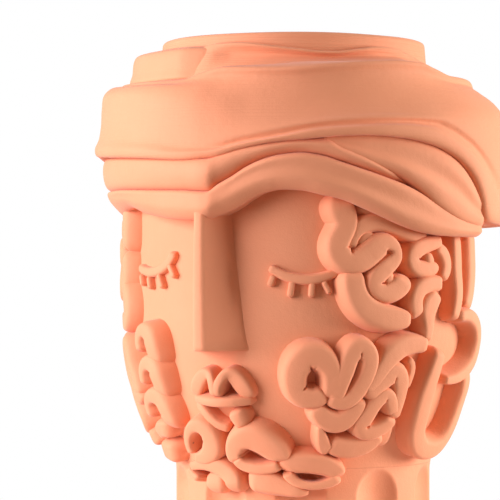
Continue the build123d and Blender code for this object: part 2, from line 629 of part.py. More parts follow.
def vessel_pieces():
    """The walls that make the vessel."""
    return {
        "base_disc": base_disc(),
        "fluted_neck": fluted_neck(),
        "head_wall": head_wall(),
        "shoulder_ring": shoulder_ring(),
        "mouth_collar": mouth_collar(),
    }


def turban_pieces():
    """The clay straps of the turban."""
    return {
        "turban_brow_roll": wound_strap(BROW_ENDS, BROW_LOWER, BROW_UPPER, BROW_PROUD),
        "turban_middle_band": wound_strap(MIDDLE_ENDS, BROW_UPPER, BROAD_LOWER, MIDDLE_PROUD),
        "turban_side_fan": wound_strap(FAN_ENDS, BROW_UPPER, BROAD_LOWER, FAN_PROUD),
        "turban_broad_band": broad_band(),
        "turban_top_wrap": top_wrap(),
        "turban_rim_fold": rim_fold(),
    }


def main():
    os.makedirs("parts", exist_ok=True)
    pieces = {**vessel_pieces(), **turban_pieces(), **face_pieces(), **curl_pieces()}
    for name, piece in pieces.items():
        export_step(piece, f"parts/{name}.step")


main()
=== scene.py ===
import math
from functools import partial

import bpy
import numpy as np
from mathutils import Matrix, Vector


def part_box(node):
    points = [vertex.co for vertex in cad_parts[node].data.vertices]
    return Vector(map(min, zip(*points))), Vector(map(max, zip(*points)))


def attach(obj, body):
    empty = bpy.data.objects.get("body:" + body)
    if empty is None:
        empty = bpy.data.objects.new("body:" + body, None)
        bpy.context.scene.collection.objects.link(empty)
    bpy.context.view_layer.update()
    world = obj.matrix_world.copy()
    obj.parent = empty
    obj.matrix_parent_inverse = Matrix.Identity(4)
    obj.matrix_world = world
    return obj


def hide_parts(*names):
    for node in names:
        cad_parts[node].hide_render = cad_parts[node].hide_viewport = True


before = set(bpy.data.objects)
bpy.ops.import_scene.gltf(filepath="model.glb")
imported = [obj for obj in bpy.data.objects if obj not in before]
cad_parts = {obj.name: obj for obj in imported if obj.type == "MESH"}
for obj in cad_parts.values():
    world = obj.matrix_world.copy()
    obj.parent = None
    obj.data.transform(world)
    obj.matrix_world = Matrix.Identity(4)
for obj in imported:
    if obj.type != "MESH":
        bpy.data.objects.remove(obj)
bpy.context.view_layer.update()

# Terracotta face vase: looks. Tables are in millimetres and degrees, like the solids.
# A place on the head is an angle round the axis, 0 at the nose and positive to +X, and a height.
MM = 0.001

# Vessel sizes, taken from the solids
head_low, head_high = (np.array(corner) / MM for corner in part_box("head_wall"))
base_low, base_high = (np.array(corner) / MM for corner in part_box("base_disc"))
collar_low, collar_high = (np.array(corner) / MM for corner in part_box("mouth_collar"))
HEAD_RADIUS = float(head_high[0])
NECK_TOP = float(head_low[2])
SHOULDER = float(head_high[2])
BASE_TOP = float(base_high[2])
BASE_RADIUS = float(base_high[0])
RIM_TOP = float(collar_high[2])
COLLAR_FOOT = float(collar_low[2])
COLLAR_RADIUS = float(collar_high[0])
COLLAR_FORWARD = -float(collar_low[1] + collar_high[1]) / 2
NECK_RADIUS = 92.0
JAW_TOP = 175.0
HEAD_THICKNESS = 10.0
NECK_THICKNESS = 11.0
COLLAR_THICKNESS = 10.0
BEND_EASE = 26.0


# Small helpers

def pchip(points):
    """A curve through points given as (x, value, ...) rows: cubic, with no overshoot."""
    table = np.array(points, float)
    xs, ys = table[:, 0], table[:, 1:]
    steps = np.diff(xs)[:, None]
    rates = np.diff(ys, axis=0) / steps
    slopes = np.zeros_like(ys)
    before, after = rates[:-1], rates[1:]
    first, second = steps[:-1], steps[1:]
    w1, w2 = 2 * second + first, second + 2 * first
    same = before * after > 0
    safe_before = np.where(same, before, 1.0)
    safe_after = np.where(same, after, 1.0)
    slopes[1:-1] = np.where(same, (w1 + w2) / (w1 / safe_before + w2 / safe_after), 0.0)
    slopes[0], slopes[-1] = rates[0], rates[-1]

    def at(x):
        x = np.clip(np.atleast_1d(np.asarray(x, float)), xs[0], xs[-1])
        i = np.clip(np.searchsorted(xs, x, side="right") - 1, 0, len(xs) - 2)
        h = (xs[i + 1] - xs[i])[:, None]
        t = ((x - xs[i])[:, None]) / h
        rise = ys[i] * (1 + 2 * t) * (1 - t) ** 2 + ys[i + 1] * t * t * (3 - 2 * t)
        return rise + h * (slopes[i] * t * (1 - t) ** 2 - slopes[i + 1] * t * t * (1 - t))

    return at


SPLINE_STEPS = 40


def natural_spline(points):
    """Dense points along a smooth cubic through the given rows, with the path length of each."""
    rows = np.array(points, float)
    flat = rows[:, :2]
    knots = np.concatenate([[0], np.cumsum(np.sqrt(np.linalg.norm(np.diff(flat, axis=0), axis=1)))])
    count = len(rows)
    h = np.diff(knots)
    matrix = np.eye(count)
    right = np.zeros_like(rows)
    for i in range(1, count - 1):
        matrix[i, i - 1:i + 2] = h[i - 1], 2 * (h[i - 1] + h[i]), h[i]
        right[i] = 6 * ((rows[i + 1] - rows[i]) / h[i] - (rows[i] - rows[i - 1]) / h[i - 1])
    bend = np.linalg.solve(matrix, right)
    out = []
    for i in range(count - 1):
        t = np.linspace(0, 1, SPLINE_STEPS, endpoint=(i == count - 2))[:, None]
        a, b = 1 - t, t
        curve = (a ** 3 - a) * bend[i] + (b ** 3 - b) * bend[i + 1]
        out.append(a * rows[i] + b * rows[i + 1] + curve * h[i] ** 2 / 6)
    line = np.concatenate(out)
    length = np.concatenate([[0], np.cumsum(np.linalg.norm(np.diff(line[:, :2], axis=0), axis=1))])
    return line, length


def seat(z):
    """Radius of the wall under a clay piece and its slope, eased over the bend at the neck."""
    z = np.asarray(z, float)
    inset, rise = HEAD_RADIUS - NECK_RADIUS, JAW_TOP - NECK_TOP
    arc = (inset ** 2 + rise ** 2) / (2 * inset)

    def jaw(level):
        drop = np.clip(JAW_TOP - level, 0, rise)
        reach = np.sqrt(arc ** 2 - drop ** 2)
        return HEAD_RADIUS - arc + reach, drop / reach

    low, high = NECK_TOP - BEND_EASE / 2, NECK_TOP + BEND_EASE / 2
    radius, slope = jaw(z)
    top_radius, top_slope = jaw(np.array(high))
    t = np.clip((z - low) / BEND_EASE, 0, 1)
    step = top_radius - NECK_RADIUS
    eased = NECK_RADIUS + step * t * t * (3 - 2 * t) - top_slope * BEND_EASE * t * t * (1 - t)
    eased_slope = step * 6 * t * (1 - t) / BEND_EASE - top_slope * t * (2 - 3 * t)
    below = z < high
    return np.where(below, eased, radius), np.where(below, eased_slope, slope)


def around(angle, radius, z):
    """Points at an angle from the nose, a distance from the axis and a height."""
    turn = np.radians(angle)
    return np.stack(np.broadcast_arrays(radius * np.sin(turn), -radius * np.cos(turn), z), -1)


def wobble(points, size, amount):
    """A small, smooth, repeatable unevenness for points in millimetres."""
    p = np.asarray(points, float) / size
    x, y, z = p[..., 0], p[..., 1], p[..., 2]
    waves = np.sin(1.7 * x + 2.3 * np.sin(0.9 * z + 1.1)) + np.sin(1.9 * y - 1.3 * np.sin(1.1 * x))
    return amount * (waves + np.sin(2.2 * z + 1.7 * np.sin(1.3 * y + 0.6))) / 3


# Nodes

def node(tree, kind, **settings):
    """A new node with its settings."""
    made = tree.nodes.new(kind)
    for key, value in settings.items():
        setattr(made, key, value)
    return made


def feed(tree, target, **values):
    """Fills inputs by name or number: a plain value is set, and a socket is linked."""
    for key, value in values.items():
        socket = target.inputs[int(key[1:])] if key.startswith("_") else target.inputs[key]
        if isinstance(value, bpy.types.NodeSocket):
            tree.links.new(value, socket)
        else:
            socket.default_value = value
    return target


def maths(tree, kind, *values):
    """The result of a math node."""
    made = node(tree, "ShaderNodeMath", operation=kind)
    feed(tree, made, **{f"_{i}": value for i, value in enumerate(values)})
    return made.outputs[0]


def vectors(tree, kind, *values):
    """The result of a vector math node, whose scale is its fourth input."""
    made = node(tree, "ShaderNodeVectorMath", operation=kind)
    for i, value in enumerate(values):
        name = 3 if kind == "SCALE" and i == 1 else i
        feed(tree, made, **{f"_{name}": value})
    return made.outputs[0]


def shader(tree, kind, **values):
    """A new shader node with its inputs."""
    return feed(tree, node(tree, "ShaderNode" + kind), **values)


def geometry(tree, kind, **values):
    """The result of a geometry node."""
    return feed(tree, node(tree, "GeometryNode" + kind), **values).outputs[0]


def empty_tree(owner):
    """The node tree of a material or a world, with nothing in it."""
    owner.use_nodes = True
    owner.node_tree.nodes.clear()
    return owner.node_tree


def shape_tree(name, inputs):
    """A new geometry nodes tree, with the sockets of its named inputs."""
    tree = bpy.data.node_groups.new(name, "GeometryNodeTree")
    for label, kind in inputs.items():
        tree.interface.new_socket(label, in_out="INPUT", socket_type="NodeSocket" + kind)
    tree.interface.new_socket("Geometry", in_out="OUTPUT", socket_type="NodeSocketGeometry")
    return tree, node(tree, "NodeGroupInput").outputs


# Clay: its colours, how fine and how detailed its spots are, and how strongly they show
CLAY_COLOUR = (0.80, 0.285, 0.13, 1.0)
CLAY_PALE = (0.84, 0.335, 0.165, 1.0)
CLAY_DEEP = (0.72, 0.225, 0.09, 1.0)
# Painted shade laid into the pits
PIT_PAINTED_SHADE = (0.30, 0.10, 0.05, 1.0)
DRIFT = (9.0, 2.0)
MOTTLE = (55.0, 4.0)
LUMPS = (260.0, 3.0)
GRAIN = (1100.0, 3.0)
BRUSH = (1.0, 2.0)
SPOT_ROUGHNESS = 0.55
MOTTLE_SHARE = 0.3
GRAIN_SHARE = 0.2
# Pits: one cell in seven or so has one; its size is a share of the cell. Each pit is dented by the bump and
# darkened with painted shade.
PITS = {"cells": 70.0, "rarity": 0.86, "radius": 0.055, "darkness": 0.6}
# Brush lines are stretched round the vase and fine up its height
BRUSH_STRETCH = (7.0, 7.0, 900.0)
# Relief: how deep each kind of mark is
RELIEF = {"brush": 0.9, "grain": 0.32, "lumps": 0.5, "pits": 1.2}
BUMP_STRENGTH = 0.55
BUMP_DISTANCE = 0.0008
CLAY_SURFACE = {"Roughness": 0.72, "Specular IOR Level": 0.3, "Sheen Weight": 0.12, "Sheen Roughness": 0.5}


def terracotta():
    """Matte fired clay: soft colour drift, grain, brush lines and a few pits, dented and darkened with
    painted shade.
    """
    clay = bpy.data.materials.new("terracotta")
    tree = empty_tree(clay)
    times, plus, minus = (partial(maths, tree, kind) for kind in ("MULTIPLY", "ADD", "SUBTRACT"))
    place = shader(tree, "TexCoord").outputs["Object"]

    def noise(spots, vector=place):
        scale, detail = spots
        made = shader(tree, "TexNoise", Vector=vector, Scale=scale, Detail=detail, Roughness=SPOT_ROUGHNESS)
        return made.outputs["Fac"]

    def blend(factor, a, b):
        made = node(tree, "ShaderNodeMix", data_type="RGBA")
        feed(tree, made, _0=factor, _6=a, _7=b)
        return made.outputs[2]

    drift, mottle, grain, lumps = (noise(spots) for spots in (DRIFT, MOTTLE, GRAIN, LUMPS))
    colour = blend(drift, CLAY_PALE, CLAY_COLOUR)
    colour = blend(times(mottle, MOTTLE_SHARE), colour, CLAY_DEEP)
    colour = blend(times(grain, GRAIN_SHARE), colour, CLAY_PALE)

    cells = shader(tree, "TexVoronoi", Vector=place, Scale=PITS["cells"], Randomness=1.0)
    spot = shader(tree, "SeparateColor", Color=cells.outputs["Color"])
    rare = maths(tree, "GREATER_THAN", spot.outputs[0], PITS["rarity"])
    near = maths(tree, "LESS_THAN", cells.outputs["Distance"], PITS["radius"])
    pit = times(rare, near)
    # Painted shade: each pit is darkened towards a deep brown, as the shade inside it.
    colour = blend(times(pit, PITS["darkness"]), colour, PIT_PAINTED_SHADE)

    stretched = shader(tree, "Mapping", Vector=place, Scale=BRUSH_STRETCH)
    lines = noise(BRUSH, stretched.outputs[0])
    brushed = node(tree, "ShaderNodeAttribute", attribute_name="brushed").outputs["Fac"]
    relief = times(times(lines, brushed), RELIEF["brush"])
    relief = plus(relief, times(grain, RELIEF["grain"]))
    relief = plus(relief, times(lumps, RELIEF["lumps"]))
    relief = minus(relief, times(pit, RELIEF["pits"]))
    bump = shader(tree, "Bump", Strength=BUMP_STRENGTH, Distance=BUMP_DISTANCE, Height=relief)
    surface = shader(tree, "BsdfPrincipled", Normal=bump.outputs[0], **CLAY_SURFACE)
    feed(tree, surface, **{"Base Color": colour})
    shader(tree, "OutputMaterial", Surface=surface.outputs[0])
    return clay


CLAY = terracotta()


# Meshes

def placed(name, data):
    """A new object in the scene."""
    thing = bpy.data.objects.new(name, data)
    bpy.context.scene.collection.objects.link(thing)
    return thing


def clay_piece(name, mesh):
    """An object of clay, hung on the root body, with the solid that it stands for hidden."""
    thing = placed("clay_" + name, mesh)
    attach(thing, "root")
    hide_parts(name)


def signed_volume(points, faces):
    """Positive when the faces look outward."""
    total = 0.0
    for face in faces:
        a = points[face[0]]
        for i in range(1, len(face) - 1):
            total += np.dot(a, np.cross(points[face[i]], points[face[i + 1]]))
    return total


def mesh_piece(name, points, faces, brushed=0.0):
    """A piece from points in millimetres."""
    points = np.asarray(points, float)
    if signed_volume(points, faces) < 0:
        faces = [tuple(reversed(face)) for face in faces]
    mesh = bpy.data.meshes.new(name)
    mesh.from_pydata((points * MM).tolist(), [], faces)
    mesh.materials.append(CLAY)
    mesh.polygons.foreach_set("use_smooth", [True] * len(mesh.polygons))
    marks = mesh.attributes.new("brushed", "FLOAT", "POINT")
    marks.data.foreach_set("value", [brushed] * len(points))
    mesh.update()
    clay_piece(name, mesh)


def grid_faces(rows, columns, wrap_rows=False, wrap_columns=True):
    """Four-sided faces over a grid of points, which closes on itself where asked."""
    faces = []
    for r in range(rows if wrap_rows else rows - 1):
        here, there = r * columns, ((r + 1) % rows) * columns
        for c in range(columns if wrap_columns else columns - 1):
            d = (c + 1) % columns
            faces.append((here + c, here + d, there + d, there + c))
    return faces


def skin(grid, wrap_rows=False):
    """Faces over a grid of points whose columns close on themselves; open ends are capped."""
    rows, columns = grid.shape[:2]
    faces = grid_faces(rows, columns, wrap_rows)
    if not wrap_rows:
        faces.append(tuple(reversed(range(columns))))
        faces.append(tuple(range((rows - 1) * columns, rows * columns)))
    return grid.reshape(-1, 3), faces


def turned(profile, steps):
    """A closed outline of (radius, height) points turned round the axis."""
    angles = np.linspace(0, 360, steps, endpoint=False)
    outline = np.array(profile, float)
    return np.stack([around(a, outline[:, 0], outline[:, 1]) for a in angles])


def rounded(corners, radius, steps=5):
    """An outline with each corner (radius, height) rounded off."""
    points = np.array(corners, float)
    out = []
    for i, corner in enumerate(points):
        before, after = points[i - 1], points[(i + 1) % len(points)]
        size = min(radius, *(0.45 * np.linalg.norm(p - corner) for p in (before, after)))
        start = corner + size * (before - corner) / np.linalg.norm(before - corner)
        end = corner + size * (after - corner) / np.linalg.norm(after - corner)
        for t in np.linspace(0, 1, steps):
            out.append((1 - t) ** 2 * start + 2 * t * (1 - t) * corner + t * t * end)
    return np.array(out)


def densified(outline, spacing):
    """More points along the long straight parts of a closed outline."""
    out = []
    for a, b in zip(outline, np.roll(outline, -1, axis=0)):
        count = max(1, int(np.linalg.norm(b - a) / spacing))
        out += [a + (b - a) * i / count for i in range(count)]
    return np.array(out)


# Vessel. The head wall ends below in a thin skirt over the top of the neck.
HEAD_SKIRT = 6
SKIRT_THICKNESS = 0.5
WALL_PROUD = 0.06
# Unevenness: the height over which it fades in, and its size and amount on each piece
UNEVEN_FROM = 20
WALL_WOBBLE = (16.0, 0.22)
COLLAR_WOBBLE = (30.0, 0.35)
STRAP_WOBBLE = (20.0, 0.3)
# Steps round the vessel
ROUND_STEPS = 300
BASE_STEPS = 120
SHOULDER_STEPS = 240
FLUTE_STEPS = 73
BASE_ROUND = 1.0
# The base disc closes on a hole too small to see
BASE_HOLE = 0.05
SHOULDER_ROUND = 1.2
# The collar is wider at its foot and drawn in at its rim
COLLAR_FOOT_FLARE = 2.0
COLLAR_RIM_DRAW = 0.6
COLLAR_ROUND = 3.2
COLLAR_BRUSHED = 1.8
FLUTES = {"count": 10, "first": 28.0, "width": 35.0, "depth": 7.0, "spring": 39.5, "soft": 1.6}
NECK_FOOT_ROUND = 1.2
NECK_SEAM = 0.3
NECK_WELD = 0.00001


def make_head_wall():
    skirt = np.linspace(NECK_TOP - HEAD_SKIRT, NECK_TOP, 6, endpoint=False)
    jaw = np.linspace(NECK_TOP, JAW_TOP, 40)
    levels = np.concatenate([skirt, jaw, np.linspace(JAW_TOP + 4, SHOULDER, 34)])
    outer = seat(levels)[0] + WALL_PROUD
    outside = np.stack([outer, levels], -1)
    inner = np.where(levels < NECK_TOP, outer - SKIRT_THICKNESS, outer - HEAD_THICKNESS)
    inside = np.stack([inner, levels], -1)[::-1]
    grid = turned(np.concatenate([outside, inside]), ROUND_STEPS)
    out = grid[..., :2] / np.linalg.norm(grid[..., :2], axis=-1, keepdims=True)
    settle = np.clip((grid[..., 2] - NECK_TOP) / UNEVEN_FROM, 0, 1)
    grid[..., :2] += out * (settle * wobble(grid, *WALL_WOBBLE))[..., None]
    mesh_piece("head_wall", *skin(grid, wrap_rows=True))


def make_base():
    corners = [(BASE_HOLE, 0), (BASE_RADIUS, 0), (BASE_RADIUS, BASE_TOP), (BASE_HOLE, BASE_TOP)]
    outline = densified(rounded(corners, BASE_ROUND), 8.0)
    mesh_piece("base_disc", *skin(turned(outline, BASE_STEPS), wrap_rows=True))


def make_shoulder():
    low, high = (np.array(corner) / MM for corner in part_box("shoulder_ring"))
    inner = COLLAR_RADIUS - COLLAR_THICKNESS
    angles = np.linspace(0, 360, SHOULDER_STEPS, endpoint=False)
    turn = np.radians(angles)
    across = COLLAR_FORWARD * np.sin(turn)
    holes = COLLAR_FORWARD * np.cos(turn) + np.sqrt(inner ** 2 - across ** 2)
    sections = []
    for angle, hole in zip(angles, holes):
        corners = [(hole, low[2]), (HEAD_RADIUS, low[2]), (HEAD_RADIUS, high[2]), (hole, high[2])]
        outline = rounded(corners, SHOULDER_ROUND)
        sections.append(np.stack([around(angle, r, z) for r, z in outline]))
    mesh_piece("shoulder_ring", *skin(np.stack(sections), wrap_rows=True))


def make_collar():
    low, inner = COLLAR_FOOT, COLLAR_RADIUS - COLLAR_THICKNESS
    corners = [(inner, low), (COLLAR_RADIUS + COLLAR_FOOT_FLARE, low),
               (COLLAR_RADIUS - COLLAR_RIM_DRAW, RIM_TOP), (inner, RIM_TOP)]
    grid = turned(densified(rounded(corners, COLLAR_ROUND, 7), 3.0), ROUND_STEPS)
    grid[..., 2] += wobble(grid, *COLLAR_WOBBLE) * np.clip((grid[..., 2] - low) / UNEVEN_FROM, 0, 1)
    grid[..., 1] -= COLLAR_FORWARD
    mesh_piece("mouth_collar", *skin(grid, wrap_rows=True), brushed=COLLAR_BRUSHED)


def flute_sector():
    """One tenth of the neck: an arched flute in the middle of its outside."""
    half = 180.0 / FLUTES["count"]
    turns = np.linspace(-half, half, FLUTE_STEPS)
    top = NECK_TOP - NECK_SEAM
    levels = np.concatenate([np.linspace(0, NECK_FOOT_ROUND, 4), np.linspace(2, top, 84)])
    cutter = ((FLUTES["width"] / 2) ** 2 + FLUTES["depth"] ** 2) / (2 * FLUTES["depth"])
    reach = math.sqrt(NECK_RADIUS ** 2 - (FLUTES["width"] / 2) ** 2) - FLUTES["depth"] + cutter
    delta, z = np.meshgrid(np.radians(turns), levels)
    above = np.clip(z - FLUTES["spring"], 0, None)
    left = cutter ** 2 - above ** 2 - (reach * np.sin(delta)) ** 2
    cut = np.where(left > 0, reach * np.cos(delta) - np.sqrt(np.clip(left, 0, None)), 2 * NECK_RADIUS)
    soft = FLUTES["soft"]
    share = np.clip(0.5 + 0.5 * (NECK_RADIUS - cut) / soft, 0, 1)
    radius = NECK_RADIUS + (cut - NECK_RADIUS) * share - soft * share * (1 - share)
    radius = np.where(cut > NECK_RADIUS + soft, NECK_RADIUS, radius)
    radius -= np.clip(NECK_FOOT_ROUND - z, 0, NECK_FOOT_ROUND) * 0.5
    radius += seat(z)[0] - NECK_RADIUS
    rows = [around(turns, radius[i], levels[i]) for i in range(len(levels))]
    bore = np.full_like(turns, NECK_RADIUS - NECK_THICKNESS)
    rows += [around(turns, bore, level) for level in (top, BASE_TOP, 0.0)]
    grid = np.stack(rows)
    return grid.reshape(-1, 3), grid_faces(*grid.shape[:2], wrap_rows=True, wrap_columns=False)


def ring_tree():
    """Geometry nodes: copies of one sector turned round the axis and welded together."""
    tree, given = shape_tree("sector_ring", {"Geometry": "Geometry", "Count": "Int", "First Angle": "Float",
                                             "Weld": "Float", "Clay": "Material"})
    index = node(tree, "GeometryNodeInputIndex").outputs[0]
    share = maths(tree, "DIVIDE", math.tau, given["Count"])
    turn = maths(tree, "ADD", maths(tree, "MULTIPLY", index, share), given["First Angle"])
    angle = shader(tree, "CombineXYZ", Z=turn).outputs[0]
    points = geometry(tree, "Points", Count=given["Count"])
    ring = geometry(tree, "InstanceOnPoints", Points=points, Instance=given["Geometry"], Rotation=angle)
    ring = geometry(tree, "RealizeInstances", Geometry=ring)
    ring = geometry(tree, "MergeByDistance", Geometry=ring, Distance=given["Weld"])
    ring = geometry(tree, "SetShadeSmooth", Geometry=ring)
    ring = geometry(tree, "SetMaterial", Geometry=ring, Material=given["Clay"])
    feed(tree, node(tree, "NodeGroupOutput"), Geometry=ring)
    return tree


def settled(name, mesh, tree, **values):
    """The plain mesh that a geometry nodes tree makes from a mesh, turned to face outward."""
    source = placed(name + "_source", mesh)
    modifier = source.modifiers.new("tree", "NODES")
    modifier.node_group = tree
    for item in tree.interface.items_tree:
        key = item.name.replace(" ", "_").lower()
        if item.item_type == "SOCKET" and item.in_out == "INPUT" and key in values:
            modifier[item.identifier] = values[key]
    graph = bpy.context.evaluated_depsgraph_get()
    made = bpy.data.meshes.new_from_object(source.evaluated_get(graph), depsgraph=graph)
    bpy.data.objects.remove(source)
    bpy.data.meshes.remove(mesh)
    made.name = name
    points = np.zeros(len(made.vertices) * 3)
    made.vertices.foreach_get("co", points)
    made.calc_loop_triangles()
    corners = np.zeros(len(made.loop_triangles) * 3, int)
    made.loop_triangles.foreach_get("vertices", corners)
    a, b, c = (points.reshape(-1, 3)[corners.reshape(-1, 3)[:, i]] for i in range(3))
    if np.einsum("ij,ij->i", a, np.cross(b, c)).sum() < 0:
        made.flip_normals()
    return made


def make_neck():
    points, faces = flute_sector()
    mesh = bpy.data.meshes.new("flute")
    mesh.from_pydata((points * MM).tolist(), [], faces)
    first = math.radians(FLUTES["first"])
    made = settled("fluted_neck", mesh, ring_tree(), count=FLUTES["count"], first_angle=first,
                   weld=NECK_WELD, clay=CLAY)
    clay_piece("fluted_neck", made)


# Nose
NOSE_BOTTOM = 142.5
NOSE_TOP = 246.0
# Height, reach of the ridge, half width at the wall, half width of the ridge
NOSE_LEVELS = [
    (142.5, 146.5, 21.5, 4.2), (165, 147.5, 19.5, 4.0), (190, 148, 16.5, 3.9), (215, 148, 13, 3.8),
    (235, 147.5, 10.5, 3.7), (246, 147, 9.5, 3.7)]
NOSE_ROUND = 3.0
# The underside rounds in over the tip, and the body starts above it
NOSE_TIP = 3.4
NOSE_TIP_INSET = 2.6
NOSE_TIP_NARROWS = 0.6
NOSE_BODY = 4.4
# The foot of each flank flares out and sinks into the wall
NOSE_FLARE = 3.5
NOSE_SINK = 3.0
NOSE_FLANK_OUT = 1.2
NOSE_FLARE_IN = 2.0
NOSE_BACK = -100


def make_nose():
    levels = pchip(NOSE_LEVELS)
    tip = NOSE_BOTTOM + NOSE_TIP * (1 - np.cos(np.linspace(0, 1, 9) * math.pi / 2))
    rows = []
    for z in np.concatenate([tip, np.linspace(NOSE_BOTTOM + NOSE_BODY, NOSE_TOP, 60)]):
        ridge, base, half = levels(z)[0]
        near = min(1.0, (z - NOSE_BOTTOM) / NOSE_TIP)
        shrink = NOSE_TIP_INSET * (1 - math.sqrt(1 - (1 - near) ** 2))
        ridge, base = ridge - shrink, base - NOSE_TIP_NARROWS * shrink
        wall_y = -math.sqrt(HEAD_RADIUS ** 2 - base ** 2) + NOSE_SINK
        flare, flank_y, flare_y = base + NOSE_FLARE, wall_y - NOSE_FLANK_OUT, wall_y + NOSE_FLARE_IN
        outline = [(-flare, flare_y), (-base, flank_y), (-half, -ridge), (half, -ridge), (base, flank_y),
                   (flare, flare_y), (flare, NOSE_BACK), (-flare, NOSE_BACK)]
        soft = rounded(outline, NOSE_ROUND, 8)
        rows.append(np.concatenate([soft, np.full((len(soft), 1), z)], axis=1))
    mesh_piece("nose", *skin(np.stack(rows)))


# Turban. Each rail is a line round the head: angle, height and distance from the axis.

def rail_section(rails, angles, per_span):
    """Sections through the rails at the given angles, as smooth closed outlines."""
    knots = np.stack([rail(angles) for rail in rails], axis=1)
    closed = np.concatenate([knots[:, -1:], knots, knots[:, :2]], axis=1)
    out = []
    for i in range(1, closed.shape[1] - 2):
        p0, p1, p2, p3 = (closed[:, i + k] for k in (-1, 0, 1, 2))
        d1, d2, d3 = (np.sqrt(np.linalg.norm(b - a, axis=-1, keepdims=True)) + 1e-6
                      for a, b in ((p0, p1), (p1, p2), (p2, p3)))
        m1 = (p1 - p0) / d1 - (p2 - p0) / (d1 + d2) + (p2 - p1) / d2
        m2 = (p2 - p1) / d2 - (p3 - p1) / (d2 + d3) + (p3 - p2) / d3
        m1, m2 = m1 * d2, m2 * d2
        for t in np.arange(per_span) / per_span:
            out.append((2 * t ** 3 - 3 * t ** 2 + 1) * p1 + (t ** 3 - 2 * t ** 2 + t) * m1
                       + (3 * t ** 2 - 2 * t ** 3) * p2 + (t ** 3 - t ** 2) * m2)
    return np.stack(out, axis=1)


# Straps: angle between sections, points from rail to rail, least size of a tip, lie of the unevenness
STRAP_STEP = 1.0
FINE_STEP = 0.75
STRAP_POINTS = 6
STRAP_TIP = 0.0025
STRAP_WOBBLE_LIE = np.array([0.5, 0.5, 0.8])
# How strongly the brush shows
BROAD_BRUSHED = 0.6
FOLD_BRUSHED = 1.8


def strap_piece(name, rails, ends, step=STRAP_STEP, brushed=0.0, taper=(7.0, 7.0)):
    """A strap through its rails between two angles, thinned and rounded at its ends."""
    closed = ends[1] - ends[0] >= 360
    count = int((ends[1] - ends[0]) / step)
    angles = np.linspace(ends[0], ends[1], count + 1)
    if closed:
        angles = angles[:-1]
    sections = rail_section([pchip(rail) for rail in rails], angles, STRAP_POINTS)
    if not closed:
        middle = sections.mean(axis=1, keepdims=True)
        middle[..., 1] = sections[..., 1].min(axis=1, keepdims=True)
        for end, length in zip(ends, taper):
            share = np.clip(np.abs(angles - end) / length, 0, 1)
            scale = np.sqrt(np.clip(1 - (1 - share) ** 2, STRAP_TIP, 1))[:, None, None]
            sections = middle + (sections - middle) * scale
    grid = around(angles[:, None], sections[..., 1], sections[..., 0])
    grid = grid + wobble(grid, *STRAP_WOBBLE)[..., None] * STRAP_WOBBLE_LIE
    mesh_piece(name, *skin(grid, wrap_rows=closed), brushed=brushed)


def shifted(rail, rise=0.0, reach=0.0):
    """A rail moved up and out."""
    return [(a, z + rise, r + reach) for a, z, r in rail]


def at_reach(rail, reach):
    """A rail moved to one distance from the axis."""
    return [(a, z, reach) for a, z, _ in rail]


def rail_at(angles, heights, reaches):
    """A rail at angles that it shares with others."""
    return list(zip(angles, heights, reaches))


# Straps start just inside the outside of the wall, and the broad band farther in at its crease
INNER = HEAD_RADIUS - 1.0
BROAD_INNER = 112.0

# Broad band, from the crease at the rim fold down to its underside
BROAD_CREASE = [
    (-180, 335, 118), (-120, 334, 120), (-61, 333, 122), (-12, 331, 122), (-4, 335, 119), (4, 338.5, 118),
    (16, 338.5, 118), (30, 340, 118), (45, 341, 117.5), (60, 342, 117), (71, 341, 116.4),
    (79, 337.6, 116), (90, 334.6, 115.5), (119, 335, 114.5), (150, 335, 116), (180, 335, 118)]
RIDGE_ANGLES = (-180, -120, -61, -12, -4, 4, 12, 22, 29, 35, 41, 48, 55, 63, 70, 76, 88, 119, 150, 180)
BROAD_RIDGE_TOP = rail_at(
    RIDGE_ANGLES,
    (335, 334, 332.5, 330, 334, 336.8, 336.2, 335.8, 336.4, 337.8, 339, 340.2, 341.2, 341.8, 341.6, 338.8,
     334.6, 334.4, 335, 335),
    (124, 126, 126, 127, 127.5, 128, 128.5, 129, 129.5, 129.3, 129, 128.5, 127.5, 126.2, 125, 124.2, 123,
     121.5, 122, 124))
BROAD_RIDGE_LOW = rail_at(
    RIDGE_ANGLES,
    (332, 332.5, 331.8, 329, 332, 335, 334.4, 334, 334.6, 336, 337.2, 338.4, 339.4, 340, 339.8, 337,
     332.8, 332.4, 332.6, 332),
    (129, 131, 131, 130.5, 129.6, 129.2, 129.6, 130, 130.5, 130.3, 130, 129.5, 128.5, 127.2, 126, 125.2,
     124, 123, 124.5, 129))
BROAD_HOLLOW = [
    (-180, 329, 131), (-120, 329.5, 133), (-61, 328.6, 133.4), (-12, 327, 133.2), (-4, 329, 130.6),
    (4, 331, 128.6), (12, 330.4, 128.4), (22, 330, 128.4), (29, 330.6, 128.6), (41, 333, 128.4),
    (55, 335, 127), (70, 335.4, 125), (76, 333, 124.6), (88, 330, 124.2), (119, 329.6, 124),
    (150, 329.6, 126.6), (180, 329, 131)]
BROAD_VALLEY = [
    (-180, 327, 136), (-120, 330, 138), (-61, 330.2, 138), (-40, 328.5, 138.5), (-17, 325.5, 139),
    (-4, 323.5, 136.5), (4, 322.5, 132.8), (14, 321, 130.2), (22, 320.5, 129.2), (39, 323, 128.6),
    (48, 325, 128), (60, 327, 127.4), (75, 328, 127), (90, 327, 128), (119, 326, 129.5), (150, 326, 133),
    (180, 327, 136)]
SLOPE_ANGLES = (-180, -120, -61, -40, -17, -4, 4, 14, 28, 42, 56, 70, 90, 119, 150, 180)
BROAD_SLOPE = rail_at(
    SLOPE_ANGLES,
    (318, 323, 325, 323, 319, 315, 312, 309.5, 310, 313, 315, 316.5, 318, 318, 317, 318),
    (143, 144, 144.5, 144.5, 144, 141.5, 138, 134, 131.8, 131, 131.5, 133.5, 137, 140, 142, 143))
